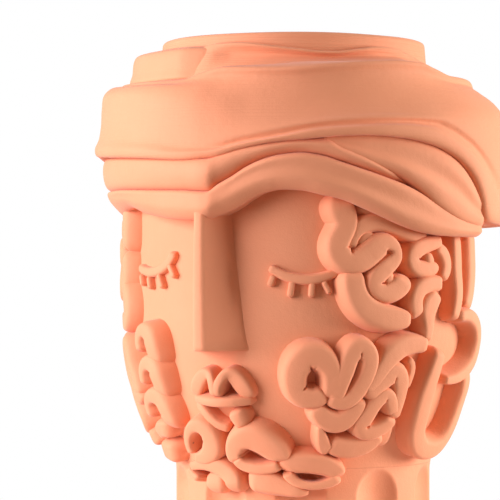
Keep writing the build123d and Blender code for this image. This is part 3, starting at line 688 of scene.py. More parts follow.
BROAD_BULGE = rail_at(
    SLOPE_ANGLES,
    (303, 311, 315, 313, 308, 302, 298, 298.5, 300.5, 304, 306, 307, 305, 303, 303, 303),
    (148, 146, 146, 146, 146, 144.5, 142.5, 139.5, 137.5, 137, 137.5, 140, 145.5, 148.5, 148.5, 148))
BROAD_FULL = [
    (-180, 262, 149), (-128, 264, 149), (-112, 272, 149), (-102, 284, 148.5), (-92, 295, 147.5),
    (-61, 303, 146.5), (-40, 301, 147), (-17, 296, 147.5), (-4, 288, 147), (4, 285, 146),
    (14, 290, 143.3), (28, 296, 141.6), (42, 300.2, 141), (56, 302.5, 141), (70, 302, 142.8),
    (80, 293, 146.5), (85, 286, 148), (90, 278, 149), (96, 269, 149.5), (103, 264, 149.5),
    (130, 262, 149), (180, 262, 149)]
BROAD_GROOVE = [
    (-180, 240, 147.5), (-125, 241, 147.5), (-112, 248, 147.5), (-104, 261, 148), (-98, 272, 148),
    (-90, 284, 148), (-61, 293, 148.2), (-40, 291, 148.6), (-17, 286.5, 149), (-4, 281.5, 148),
    (4, 281, 146), (12, 285, 142.8), (22.5, 289.4, 141), (34, 295, 140), (46, 297.4, 139.5),
    (59, 299, 139.6), (70, 298, 141), (74, 294.5, 142.8), (80, 288, 145), (85, 281, 146.5),
    (90, 271.5, 147.3), (96, 260, 147.5), (103, 249, 147.3), (112, 243, 147.2), (130, 240, 147),
    (180, 240, 147.5)]
BROAD_LIP = [
    (-180, 235.5, 150), (-122, 236, 150), (-110, 241, 150.5), (-102, 252, 151), (-96, 262, 151),
    (-88, 276, 151), (-75, 283.5, 151), (-61, 286, 151), (-40, 284, 151.5), (-17, 280, 152),
    (-4, 277.5, 151), (4, 278.5, 149), (12, 283, 146.8), (22, 287, 145.5), (34, 292, 144.8),
    (46, 294.4, 144.8), (58, 295.4, 145.2), (66, 293.6, 146.4), (72, 289, 148), (78, 282, 149.5),
    (83, 274, 150.5), (88, 262, 151), (92, 252, 151), (97, 244, 150.7), (104, 239, 150.3),
    (115, 236.5, 150), (180, 235.5, 150)]
BROAD_EDGE = [
    (-180, 231, 147), (-115, 231.5, 147), (-104, 235, 147.5), (-97, 246, 148), (-92, 257, 148.5),
    (-84, 271, 149), (-74, 278, 149.5), (-61, 281, 149.5), (-40, 278.5, 150), (-17, 275.5, 150.3),
    (-4, 273.5, 149.5), (4, 274.5, 147), (12.4, 280.5, 145.3), (20.7, 284.5, 144.2), (28.5, 286.3, 143.5),
    (41, 289.2, 143), (49, 289.8, 143), (57, 288.8, 143.5), (64, 286.3, 144.8), (69, 283.3, 145.8),
    (74.5, 277.6, 147), (79, 270.5, 148), (83, 261.5, 148.5), (86, 250, 148.5), (88, 240, 148.3),
    (91, 234, 148), (98, 231.5, 147.4), (115, 231, 147), (180, 231, 147)]
BROAD_UNDER = shifted(BROAD_EDGE, 0.3, -12.0)

# Brow roll: the crease above it, its lower edge and the shape of its face
BROW_ANGLES = (-96, -80, -61, -40, -17, -4.5, 2, 3.2, 5, 9.2, 13.7, 18.1, 22.4, 28.4, 34.3, 40, 46, 52.4,
               59, 64, 69, 78, 87, 96)
BROW_CREASE = rail_at(
    BROW_ANGLES,
    (244, 253, 256, 255.8, 254, 253.2, 252.2, 252.6, 256.4, 262.5, 269.6, 274.1, 276.7, 278, 276.2, 272,
     267.4, 262.4, 257, 251.5, 244.6, 235, 232, 231.6),
    (138, 140, 141.5, 141.5, 142.5, 145, 146.5, 146.5, 145, 143, 141.5, 141, 140.5, 140, 140, 140, 140.5,
     141, 141.5, 142, 142.8, 144, 144, 138))
BROW_UPPER = rail_at(
    BROW_ANGLES,
    (241, 250.5, 253.5, 253.4, 251.3, 250.4, 249.5, 249.9, 253, 259, 265.8, 270.4, 273, 274.2, 272.4,
     268.2, 263.4, 258.2, 252.4, 247, 240.6, 231.4, 229.4, 229.2),
    (138.5, 141, 141.8, 142, 143.6, 147, 149, 149, 147.8, 145.8, 144.6, 144, 143.6, 143.2, 143, 143,
     143.2, 143.4, 143.6, 143.4, 143.2, 144.2, 144.2, 137))
BROW_GROOVE = [
    (-96, 237, 138), (-70, 249, 141), (-61, 251, 141.4), (-40, 251, 141), (-17, 247.5, 143.5),
    (-4, 246.5, 147.5), (2, 246, 149.8), (3.2, 246.4, 149.8), (6, 250, 148), (9.2, 255, 146),
    (13.7, 261.4, 144.3), (18.1, 265.6, 143.3), (23.2, 267.6, 142.6), (28.7, 267.2, 142.2),
    (33.8, 264.8, 142), (40, 260.4, 142), (46.2, 255, 142), (52.4, 249.4, 142), (59, 243.4, 142.4),
    (64, 238.6, 142.6), (70, 233, 143.4), (78, 228.8, 144.6), (87, 227.6, 144.6), (96, 227.6, 137)]
BROW_FRONT = [
    (-96, 232, 136), (-70, 243, 136), (-61, 246, 138.4), (-45, 247, 139), (-37, 247, 139),
    (-27, 244, 140), (-19.5, 242, 141.5), (-11, 240, 144), (-2, 239, 147.5), (2, 239, 149.5),
    (3.2, 239.3, 149.5), (6, 243, 147.5), (9.2, 247, 146), (13.7, 253, 144.5), (18.1, 257.4, 143.8),
    (23.2, 259.4, 143.2), (28.7, 259, 143), (33.8, 256.4, 143), (40, 252.4, 143), (46.2, 246.8, 143),
    (52.4, 240.8, 143), (59, 234.4, 143), (64, 230.6, 143.4), (70, 227.6, 144), (78, 225.4, 144.8),
    (87, 225, 144.8), (96, 225.4, 137)]
BROW_EDGE = [
    (-96, 226, 130), (-70, 234, 128), (-61, 236.5, 128), (-45, 241, 131), (-37, 242.5, 132),
    (-27, 238, 133), (-19.5, 235.2, 134), (-11, 233, 137), (-2, 232.5, 140), (2, 233, 141),
    (4.6, 235.1, 140), (9.2, 239.6, 138), (13.7, 245.8, 137), (18.1, 250.3, 136.5), (23.2, 252.4, 136),
    (28.7, 251.8, 136), (33.8, 249.2, 136), (40, 246, 136), (46.2, 240.4, 136), (52.4, 234.3, 136.5),
    (59, 228, 137.5), (64, 224.6, 138.5), (70, 222.4, 139.5), (78, 221.4, 140), (87, 221.4, 139.8),
    (96, 222, 133)]

# Middle band, between the broad band and the brow roll, narrowing to a strip on the head's left
MIDDLE_UPPER = [
    (-96, 252, 139), (-84, 268, 142), (-74, 275, 143), (-61, 277.5, 143.5), (-40, 276.5, 144),
    (-17, 274, 145.5), (-4, 272, 148), (2.5, 271.5, 149.5), (6, 274, 147.5), (12.4, 279.5, 144.5),
    (20.7, 283.3, 142.3), (28.5, 285, 141), (35.2, 285, 140.5), (40, 279.6, 141.2), (46, 274, 141.6),
    (52, 268.4, 141.2), (58.4, 263.2, 140), (63, 257.6, 138.6), (68, 249.6, 137), (75, 240.5, 136),
    (90, 231, 134)]
MIDDLE_CREST = [
    (-96, 249, 141), (-84, 262, 144), (-61, 269, 145.2), (-40, 268, 144.8), (-17, 266, 146.5),
    (-4, 264, 149.5), (2.2, 263.2, 151.5), (3.4, 263.6, 151.5), (6, 266, 149), (12.4, 275, 145.5),
    (20.7, 281, 143.8), (28.5, 283, 142.8), (35.2, 282.4, 142.6), (40, 277.5, 142.8), (46, 271.8, 143),
    (52, 266.3, 142.6), (58.4, 260.9, 141.4), (63, 255.6, 140), (68, 248, 138.4), (75, 239.4, 137),
    (90, 230, 135)]
MIDDLE_LOWER = shifted(BROW_CREASE, 1.8, 0.6)

# Side fan: the bundle of folds that gathers down to the ear
FAN_ANGLES = (33, 41, 49, 57, 64, 69, 74.5, 79, 83, 87, 96)
FAN_TOP = rail_at(
    FAN_ANGLES,
    (287, 289.6, 290.2, 289.2, 286.6, 283.4, 277.4, 270, 261, 252.5, 246),
    (139, 137, 136.5, 137.5, 139.5, 141, 142.8, 144, 144.8, 144.6, 136))
FAN_FOLD = rail_at(
    FAN_ANGLES,
    (286.4, 286.6, 285.4, 283, 278.6, 273.6, 266.4, 259, 250.8, 245, 241),
    (139.2, 138.2, 138.2, 140, 142.6, 144.8, 146.8, 147.6, 147.8, 147.4, 138))
FAN_HOLLOW = rail_at(
    FAN_ANGLES,
    (286, 283.4, 279.4, 275.4, 269.4, 263, 256, 249.4, 243.2, 239.4, 237),
    (139.2, 138.6, 139.2, 141, 143, 144.2, 145, 145.4, 145.8, 146, 137.4))
FAN_RIDGE = rail_at(
    FAN_ANGLES,
    (285.6, 281.2, 274.6, 267.8, 260, 253.6, 246.4, 241, 236.8, 234.6, 233.4),
    (139.4, 139.8, 141.6, 144.4, 146, 146.8, 147, 147.2, 147.2, 147, 138))
FAN_CREASE = rail_at(
    FAN_ANGLES,
    (285, 278.2, 270, 263, 252.6, 243.6, 236.8, 233, 231, 229.8, 229.2),
    (139, 139.6, 140.6, 141.6, 142.4, 143.1, 143.9, 144.3, 144.5, 144.5, 137))

# Rim fold in front of the mouth, with its wavy crisp edge
FOLD_EDGE = [
    (-14, 351, 112), (-8, 353.2, 113), (-3, 354.6, 113.6), (2.4, 355, 113.6), (9.8, 354.2, 113.2),
    (17.4, 352.2, 112.6), (25.7, 350.2, 111.6), (36, 348.6, 110.4), (41, 348.6, 109.6),
    (46.4, 349.8, 108.8), (52, 351.4, 107.6), (58, 352.8, 106), (67, 353, 103.5), (76, 350, 101),
    (85, 346.5, 99), (100, 341.5, 96.5), (119, 339, 94), (135, 338, 92)]
FOLD_FACE = [
    (-14, 343, 113), (-10, 345, 116), (-7, 346, 117.4), (-3.5, 347, 116.4), (-1, 347, 114.4),
    (3.4, 347, 111.6), (17.4, 346, 109.6), (36, 344.4, 108), (52, 346, 106), (67, 347, 104.4),
    (76, 344, 104.6), (85, 341, 104.6), (100, 337.5, 104), (119, 336.6, 102), (135, 336, 100)]
FOLD_FOOT = [
    (-14, 333, 117), (-10, 334, 121.4), (-6, 335, 121), (2.4, 337.2, 118.5), (17.4, 337.2, 117.5),
    (36, 338.8, 117), (52, 339.8, 116.6), (67, 340.4, 116), (76, 338, 115.8), (85, 335.4, 115.5),
    (100, 334, 115), (119, 334, 114.5), (135, 334, 114)]

# Top wrap round the back and the head's right of the mouth
WRAP_ENDS = (121.0, 356.0)
WRAP_FOOT = 330.5
WRAP_FRONT = 320
# Places along it: angle, the share by which it is lower and how far it is drawn in
WRAP_PLACES = [
    (121, 0.68, 3), (135, 0.52, 2), (150, 0.28, 1), (163, 0.08, 0), (180, 0, 0), (220, 0, 0), (260, 0, 0),
    (299, 0, 0), (330, 0, 0), (344, 0, 0), (350, 0, 3.2), (356, 0, 8.4)]


def collar_reach(angle):
    """How far the outside of the collar is from the head's axis."""
    turn = math.radians(angle)
    across = COLLAR_FORWARD * math.sin(turn)
    return COLLAR_FORWARD * math.cos(turn) + math.sqrt(COLLAR_RADIUS ** 2 - across ** 2)


def wrap_rail(height, reach=None, front_drop=0.0, off_collar=0.0):
    """A rail of the top wrap: low where it starts, level round the back, drawn in at its front end."""
    rows = []
    for angle, low, drawn in WRAP_PLACES:
        level = WRAP_FOOT + (height - WRAP_FOOT) * (1 - low)
        drop = front_drop if angle > WRAP_FRONT else 0.0
        out = collar_reach(angle) + off_collar if reach is None else reach - drawn
        rows.append((angle, level - drop, out))
    return rows


def make_turban():
    broad = [BROAD_CREASE, BROAD_RIDGE_TOP, BROAD_RIDGE_LOW, BROAD_HOLLOW, BROAD_VALLEY, BROAD_SLOPE,
             BROAD_BULGE, BROAD_FULL, BROAD_GROOVE, BROAD_LIP, BROAD_EDGE, BROAD_UNDER,
             at_reach(BROAD_EDGE, INNER), at_reach(BROAD_CREASE, BROAD_INNER)]
    strap_piece("turban_broad_band", broad, (-180, 180), brushed=BROAD_BRUSHED)
    middle = [MIDDLE_UPPER, MIDDLE_CREST, MIDDLE_LOWER, shifted(BROW_CREASE, -1.5, -6.0),
              at_reach(BROW_CREASE, INNER), at_reach(MIDDLE_UPPER, INNER),
              shifted(MIDDLE_UPPER, 2.5, -5.0)]
    strap_piece("turban_middle_band", middle, (-95, 66), step=FINE_STEP, taper=(7.0, 18.0))
    brow = [shifted(BROW_CREASE, -1.2, -5.0), shifted(BROW_CREASE, -1.0, -0.6), BROW_UPPER, BROW_GROOVE,
            BROW_FRONT, BROW_EDGE, shifted(BROW_EDGE, 1.2, -9.0),
            at_reach(shifted(BROW_EDGE, 1.5), INNER), at_reach(BROW_CREASE, INNER)]
    strap_piece("turban_brow_roll", brow, (-95, 95), step=FINE_STEP, taper=(7.0, 1.0))
    fan = [FAN_TOP, FAN_FOLD, FAN_HOLLOW, FAN_RIDGE, FAN_CREASE, shifted(FAN_CREASE, -1.0, -8.0),
           at_reach(shifted(FAN_CREASE, -1.0), INNER), at_reach(FAN_TOP, INNER),
           shifted(FAN_TOP, 2.5, -6.0)]
    strap_piece("turban_side_fan", fan, (33.4, 95), step=FINE_STEP, taper=(2.0, 1.0))
    fold = [shifted(FOLD_EDGE, -1.6, -4.0), shifted(FOLD_EDGE, -0.2, -1.6), FOLD_EDGE,
            shifted(FOLD_EDGE, -1.4, 1.2), FOLD_FACE, FOLD_FOOT, shifted(FOLD_FOOT, -4.0, 1.0),
            shifted(FOLD_FOOT, -5.0, -20.0)]
    strap_piece("turban_rim_fold", fold, (-13.0, 133.0), brushed=FOLD_BRUSHED, taper=(2.0, 8.0))
    wrap = [wrap_rail(353.5, off_collar=2.0), wrap_rail(353.8, 116, 0.6), wrap_rail(352.2, 121.2, 1.0),
            wrap_rail(348, 123.2, 1.0), wrap_rail(340, 124, 1.5), wrap_rail(333, 125.5, 2.0),
            wrap_rail(WRAP_FOOT, 118), wrap_rail(WRAP_FOOT, off_collar=-2.0),
            wrap_rail(345, off_collar=-2.5)]
    strap_piece("turban_top_wrap", wrap, WRAP_ENDS, taper=(8.0, 0.8))


# Clay rolls: curls, lids, lashes, lips, ears and earrings
DEGREE = HEAD_RADIUS * math.pi / 180
ROLL_STEP = 1.3
ROLL_LEAST_STEPS = 20
# Share of the steps that crowd towards a roll's ends
ROLL_CROWDING = 0.45
# An end is rounded over its own half width, or over this part of a short roll
ROLL_CAP_PART = 2.2
ROLL_TIP = 0.002
# The inner edge of a bend stays within this share of the bend's radius
ROLL_BEND_ROOM = 0.92
# Share of its height that a roll keeps at its very end
ROLL_END_HEIGHT = 0.15
ROLL_PROFILE_POINTS = 36
ROLL_UNEVENNESS = 0.1
ROLL_UNEVEN_SCALE = 48.0


def roll_line(points, rise):
    """Where a roll runs on the wall, with its directions and sizes at each step."""
    rows = np.array([(a * DEGREE, z, half, *(extra or (rise,))) for a, z, half, *extra in points], float)
    line, length = natural_spline(rows)
    total = length[-1]
    u = np.linspace(0, 1, max(ROLL_LEAST_STEPS, int(total / ROLL_STEP)))
    s = total * ((1 - ROLL_CROWDING) * u + ROLL_CROWDING * (0.5 - 0.5 * np.cos(math.pi * u)))
    x, z, half, high = (np.interp(s, length, line[:, i]) for i in range(4))
    dx, dz = np.gradient(x, s), np.gradient(z, s)
    bend = dx * np.gradient(dz, s) - dz * np.gradient(dx, s)
    radius, slope = seat(z)
    turn = x / HEAD_RADIUS
    lean = np.sqrt(1 + slope ** 2)
    out = np.stack([np.sin(turn), -np.cos(turn), -slope], -1) / lean[:, None]
    place = around(np.degrees(turn), radius, z)
    along = np.gradient(place, s, axis=0)
    along /= np.linalg.norm(along, axis=1, keepdims=True)
    across = np.cross(along, out)
    across /= np.linalg.norm(across, axis=1, keepdims=True)
    cap_a, cap_b = (min(half[i], total / ROLL_CAP_PART) for i in (0, -1))
    near = np.minimum(s / cap_a, (total - s) / cap_b)
    end = np.sqrt(np.clip(1 - (1 - np.clip(near, 0, 1)) ** 2, ROLL_TIP, 1))
    room = ROLL_BEND_ROOM / np.maximum(np.abs(bend), 1e-6)
    left = np.where(bend > 0, np.minimum(half, room), half) * end
    right = np.where(bend < 0, np.minimum(half, room), half) * end
    high = high * (ROLL_END_HEIGHT + (1 - ROLL_END_HEIGHT) * end)
    return {"place": place * MM, "out": out, "across": across, "left_width": left * MM,
            "right_width": right * MM, "rise": high * MM}


def roll_tree():
    """Geometry nodes: a rounded clay profile swept along lines on the wall."""
    tree, given = shape_tree("clay_roll", {
        "Geometry": "Geometry", "Profile Points": "Int", "Squareness": "Float", "Lean": "Float",
        "Slant": "Float", "Sink": "Float", "Unevenness": "Float", "Clay": "Material"})
    kinds = ("MULTIPLY", "ADD", "SUBTRACT", "MAXIMUM")
    times, plus, minus, larger = (partial(maths, tree, kind) for kind in kinds)
    position = node(tree, "GeometryNodeInputPosition").outputs[0]

    def stored(shape, name, value, kind="FLOAT"):
        made = node(tree, "GeometryNodeStoreNamedAttribute", data_type=kind, domain="POINT")
        return feed(tree, made, Geometry=shape, Name=name, Value=value).outputs[0]

    def named(name, kind="FLOAT"):
        made = node(tree, "GeometryNodeInputNamedAttribute", data_type=kind)
        return feed(tree, made, Name=name).outputs[0]

    def squared(value):
        size = maths(tree, "POWER", maths(tree, "ABSOLUTE", value), power)
        return times(size, maths(tree, "SIGN", value))

    power = maths(tree, "DIVIDE", 2.0, given["Squareness"])
    flat = shader(tree, "SeparateXYZ", _0=position).outputs
    profile = geometry(tree, "CurvePrimitiveCircle", Resolution=given["Profile Points"], Radius=1.0)
    profile = stored(profile, "side", squared(flat[0]))
    profile = stored(profile, "up", squared(flat[1]))
    path = geometry(tree, "MeshToCurve", Mesh=given["Geometry"])
    path = stored(path, "place", position, "FLOAT_VECTOR")
    swept = geometry(tree, "CurveToMesh", **{"Curve": path, "Profile Curve": profile, "Fill Caps": True})
    side, up = named("side"), named("up")
    place, out, across = (named(key, "FLOAT_VECTOR") for key in ("place", "out", "across"))

    on_left = maths(tree, "LESS_THAN", side, 0.0)
    left = times(named("left_width"), on_left)
    right = times(named("right_width"), minus(1.0, on_left))
    narrowed = minus(1.0, times(given["Lean"], larger(up, 0.0)))
    width = times(times(side, narrowed), plus(left, right))
    above = maths(tree, "GREATER_THAN", up, 0.0)
    noise = shader(tree, "TexNoise", Vector=place, Scale=ROLL_UNEVEN_SCALE, Detail=1.0)
    swell = plus(1.0, times(minus(noise.outputs["Fac"], 0.5), given["Unevenness"]))
    top = times(times(named("rise"), swell), above)
    under = times(given["Sink"], minus(1.0, above))
    height = times(up, plus(top, under))
    moved = vectors(tree, "ADD", vectors(tree, "SCALE", across, width), vectors(tree, "SCALE", out, height))
    sideways = vectors(tree, "CROSS_PRODUCT", (0.0, 0.0, 1.0), out)
    slid = times(given["Slant"], larger(up, 0.0))
    moved = vectors(tree, "ADD", moved, vectors(tree, "SCALE", sideways, slid))
    roll = geometry(tree, "SetPosition", Geometry=swept, Position=vectors(tree, "ADD", place, moved))
    roll = geometry(tree, "SetShadeSmooth", Geometry=roll)
    roll = geometry(tree, "RealizeInstances", Geometry=roll)
    roll = geometry(tree, "SetMaterial", Geometry=roll, Material=given["Clay"])
    feed(tree, node(tree, "NodeGroupOutput"), Geometry=roll)
    return tree


ROLL_TREE = roll_tree()
ROLL_FIELDS = {"out": "FLOAT_VECTOR", "across": "FLOAT_VECTOR", "left_width": "FLOAT",
               "right_width": "FLOAT", "rise": "FLOAT"}


def roll_piece(name, strands, rise=0.0, square=3.0, lean=0.0, sink=3.0, slant=0.0):
    """A piece of clay rolls: rows of angle, height, half width and, where it differs, rise."""
    lines = [roll_line(strand, rise) for strand in strands]
    place = np.concatenate([line["place"] for line in lines])
    edges, start = [], 0
    for line in lines:
        count = len(line["place"])
        edges += [(start + i, start + i + 1) for i in range(count - 1)]
        start += count
    mesh = bpy.data.meshes.new(name + "_line")
    mesh.from_pydata(place.tolist(), edges, [])
    for key, kind in ROLL_FIELDS.items():
        values = np.concatenate([line[key] for line in lines]).astype(np.float32)
        layer = mesh.attributes.new(key, kind, "POINT")
        layer.data.foreach_set("vector" if kind == "FLOAT_VECTOR" else "value", values.ravel())
    made = settled(name, mesh, ROLL_TREE, profile_points=ROLL_PROFILE_POINTS, squareness=square, lean=lean,
                   slant=slant * MM, sink=sink * MM, unevenness=ROLL_UNEVENNESS, clay=CLAY)
    for key in list(ROLL_FIELDS) + ["side", "up", "place"]:
        if key in made.attributes:
            made.attributes.remove(made.attributes[key])
    clay_piece(name, made)


def spread(strands, share):
    """The same strands, wider."""
    return [[(a, z, w * share, *rest) for a, z, w, *rest in strand] for strand in strands]


def mirrored(strands, back=0.0):
    """The same strands on the other side of the face, turned back by an angle."""
    return [[(-a - back, *rest) for a, *rest in strand] for strand in strands]


# Curls of the head's left side: how far they stand out and their strands
CURLS = {
    "temple_scroll": (13.0, [
        [(39.6, 250, 11), (39.6, 241, 11), (41, 229.5, 9.6), (38.9, 218, 9.4), (38.8, 210.5, 9.8),
         (40.9, 204.8, 9.6), (44, 203.4, 9.4), (47.7, 207.2, 9.8), (50.4, 212.4, 9.6), (52.8, 215.8, 7.8),
         (55, 216.6, 5, 11)],
        [(44, 244, 6, 10), (49.5, 239.5, 6, 9.5), (57, 234.5, 5, 9)]]),
    "temple_hook": (13.2, [
        [(44.4, 203.6, 8.6, 11), (47.7, 207.2, 9.4, 12.7), (50.4, 212.2, 9.6), (52.6, 215.6, 9),
         (54.6, 216.2, 7.4), (56.4, 214.2, 5.6), (57.3, 210.6, 4.8), (57.1, 206.6, 5.8),
         (55.4, 202.4, 6.8), (53, 198, 7.2), (50.9, 193, 7, 12)],
        [(42.8, 211, 4.4, 10.5), (43.1, 219, 5.6, 11), (44.8, 225.6, 6.4, 11.5), (47.6, 229.4, 7, 11.5),
         (51.6, 230.6, 7, 11.5), (56, 228.4, 6.4, 11), (60.5, 224.8, 6, 10.5), (65.5, 221.8, 5.4, 10),
         (71, 220.6, 4, 8)],
        [(43.5, 222, 6, 9), (48, 218, 8, 9.5), (55, 207, 8, 9), (60, 214, 6, 8)]]),
    "temple_ring": (13.3, [
        [(57, 206, 5, 10), (55.2, 202, 6.6, 12.9), (53, 197.8, 7.2), (50.7, 192.2, 7.4),
         (50.6, 186.6, 7.6), (53.2, 182.6, 8), (57, 184.4, 8.8), (59.6, 189.6, 9), (60.8, 195.6, 7)],
        [(52, 190, 5, 11.5), (57.4, 195, 5, 11.5)]]),
    "temple_sweep": (13.0, [
        [(43.3, 200, 8.6), (43.6, 188, 9.2), (45, 178.6, 9.6), (47.6, 172, 10), (52, 167, 10.2),
         (57, 165, 9.4), (61, 164.6, 7.2), (63.5, 164.4, 4.4)]]),
    "ear_curl_upper": (12.0, [
        [(76.5, 218.6, 4), (71.5, 216.4, 6), (66.6, 213.2, 7), (63.9, 207.2, 7.2), (64.8, 201, 7),
         (68, 198.6, 6.8), (72, 200.4, 6.8), (73.2, 205.4, 5.4)],
        [(67.4, 205, 5, 11.2), (70.4, 206, 5.4, 11.8), (72.6, 208.4, 4.2, 11.4)]]),
    "ear_wisp": (10.5, [
        [(73.5, 215, 4), (77, 211, 5.4), (78.8, 204.4, 5.8), (78.6, 197.4, 5.4), (76.2, 190.8, 3.8)]]),
    "ear_curl_lower": (12.5, [
        [(77, 188.4, 6), (72, 188.8, 6.8), (67.6, 186.4, 7), (65.2, 180.4, 6.8), (64.9, 172, 6.4),
         (66, 164.6, 6.2)],
        [(74.6, 184, 5, 11), (72.2, 178, 7.4), (70, 171.5, 8.6), (69.8, 164, 6.6), (69.8, 156, 5),
         (69.2, 148.5, 3.8)]]),
    "cheek_curl": (13.0, [
        [(36, 111.6, 5.6), (37.2, 119, 7.2), (37.4, 127, 8), (36.2, 134, 8.8), (33.4, 139.6, 10.4),
         (29, 139.6, 11), (26, 132, 10.2), (25.4, 123.5, 9.4), (26.4, 116.4, 8.8), (29.7, 113, 8.4),
         (33.4, 113.6, 7.6), (36.6, 116, 6.6)],
        [(36.4, 112, 6, 12.8), (37.6, 119, 7.2, 13.1), (38.7, 127, 5.6, 13.1), (39.2, 133.5, 3, 12)]]),
    "cheek_petal": (13.2, [
        [(38, 109.5, 5.6), (39, 116.5, 7), (40.2, 124.5, 7.4), (41.8, 133, 7.2), (43.2, 141.5, 7.6),
         (46, 146, 8.6), (48.8, 141.5, 7.6), (49.1, 134, 7.2), (47.9, 125, 7), (45.4, 116.5, 7),
         (42, 111, 6.8), (38.6, 111.6, 6.4), (35.6, 114.5, 5)]]),
    "jaw_arm": (13.0, [
        [(71, 147, 5.6), (66, 148.2, 7.4), (61, 147, 8.6), (57, 141.8, 8.6), (53.8, 133, 7.6),
         (50.9, 124, 6.6), (47.6, 115.2, 5)]]),
    "jaw_petal": (12.8, [
        [(48.4, 111.5, 5.4), (52, 119.5, 7), (55.2, 126, 8.4), (58.6, 129.4, 8.8), (60.8, 124.5, 7.8),
         (61.2, 116, 6.6), (60.8, 107.5, 5.8), (60.2, 97.5, 4.4)],
        [(62.8, 138.4, 2.6, 9), (64.8, 136, 3.2, 9.5), (65.4, 129, 3.4, 9.5), (64.3, 117, 2.8, 8.5)]]),
    "jaw_core": (13.1, [
        [(59.6, 99.5, 5), (58.8, 107, 5.6), (56.4, 114.6, 6.2), (53, 111, 6.4), (50, 101.5, 7),
         (48.6, 93.8, 7.2), (50.8, 90.2, 7), (55, 91.8, 6.6), (58.6, 96.4, 6), (60.2, 101.5, 4.8)],
        [(46.5, 101, 5, 9), (48, 110, 5, 9)]]),
    "beard_scallop": (12.5, [
        [(31.6, 109.5, 5.2), (33.8, 102.6, 7.8), (37, 97.8, 8.8), (40.8, 97.2, 8.8), (44, 101.4, 7.8),
         (46.4, 108, 6.2), (47.6, 114, 4.2)]]),
    "beard_hem": (11.5, [
        [(36.6, 83.6, 6.8), (41, 79.8, 8.2), (45.5, 78.8, 8.8), (50, 79.8, 8), (54, 83, 6.4),
         (57.6, 88, 3.8)],
        [(33.6, 95.5, 2.2), (34.6, 87, 4.6), (36.2, 79.4, 6), (38.6, 76.6, 5)],
        [(59.6, 97, 5.4, 8), (59, 87, 7, 8), (58, 77, 6, 7)]]),
}
# The head's right side: its hair lies farther back, and its beard is a stack of three looped locks
RIGHT_TEMPLE_BACK = 9.5
RIGHT_BEARD_BACK = 4.0
RIGHT_CURLS = {
    "temple_scroll": (11.5, [
        [(-50, 247, 7.4), (-49, 237, 8.8), (-49, 224, 8.8), (-50, 211, 8.2, 10.5)],
        [(-50.5, 214, 7.8), (-50, 201, 9), (-51, 188.5, 7.8), (-56, 187, 6.6), (-60, 194, 5.6)]]),
    "temple_sweep": (11.5, [
        [(-52, 189.5, 7.6), (-48.5, 181, 8.8), (-46.8, 170, 9.4), (-49.5, 162.5, 7.8), (-56, 162, 7.4),
         (-63, 166, 6.4)]]),
    "cheek_curl": (13.0, [
        [(-33.6, 141, 4), (-33.8, 150, 4.8), (-31, 156.6, 6), (-27, 154.5, 8.2), (-25.4, 147, 8.8),
         (-25, 131, 8.4, 10)],
        [(-34.6, 118.5, 4), (-34.4, 128, 4.8), (-31, 134.4, 6), (-26.6, 132.6, 8.4), (-25, 125, 8.8),
         (-24.8, 109, 8.4, 10)]]),
    "beard_scallop": (12.5, [
        [(-37.5, 96, 4.2), (-37.5, 106, 5), (-33, 112, 6.2), (-27.5, 110.5, 8.2), (-25, 103, 8.8),
         (-24.8, 88, 8.4, 9.5)]]),
    "beard_hem": (11.5, [
        [(-38.5, 83, 6.2), (-34, 89.2, 7.4), (-26.5, 87.5, 8)],
        [(-42, 74.5, 7.2), (-36, 73, 8.8), (-28.5, 70.5, 8)],
        [(-44, 84, 6.6), (-50, 82, 6.8), (-56, 87, 5)]]),
}
CHIN = {
    "left_chin_curl": (14.0, [
        [(4.5, 67.5, 5.8), (2.7, 74.5, 7.2), (4.2, 82.5, 8.4), (8.2, 86.6, 10), (13, 85.4, 11.2),
         (17.3, 80.6, 10.8), (20.4, 74, 8.8), (21, 68, 5.4)],
        [(2.7, 74, 5), (5.5, 67, 5.2), (11, 63.6, 4.8), (16.5, 64, 4.6), (21, 67, 4)]]),
    "left_chin_loop": (13.0, [
        [(21.5, 60, 6.8), (23.5, 66, 8), (28, 68, 8.4), (33, 67.4, 8.4), (38.5, 64.6, 8),
         (42.5, 59.5, 6.8), (43.5, 55, 5)],
        [(22.5, 62, 5.4), (25, 53.4, 4.2), (30, 49.8, 3.4), (36, 49.8, 3.4), (41, 53, 4.4),
         (43.5, 57, 5)]]),
    "left_chin_tip": (12.0, [
        [(6, 53, 8.8), (11, 53, 9.2), (17, 51, 8.6), (22.5, 47.8, 6.4), (28, 45, 3.8),
         (31.5, 44.4, 1.4, 9)]]),
    "right_chin_curl": (14.0, [
        [(-16.6, 73, 3.4), (-17.2, 81, 3.6), (-15.2, 89.5, 4.6), (-11, 94, 6.2), (-7, 91, 8),
         (-5.8, 83, 9.4), (-8, 75.2, 8.6), (-12.5, 71.2, 6), (-16.4, 73, 4)]]),
    "right_chin_loop": (13.0, [
        [(-21, 62, 4), (-14.5, 64.8, 4.8), (-7.5, 64.5, 7), (-2.5, 59.5, 7.6), (0.5, 52.5, 7.6),
         (1, 43.5, 7)],
        [(-21.5, 62.5, 3), (-20, 57.5, 3.4), (-15.5, 51, 3)],
        [(-9.4, 60.5, 6, 9.5), (-8.8, 52, 8.8, 10.5), (-8.6, 42, 9, 10.5)]]),
}
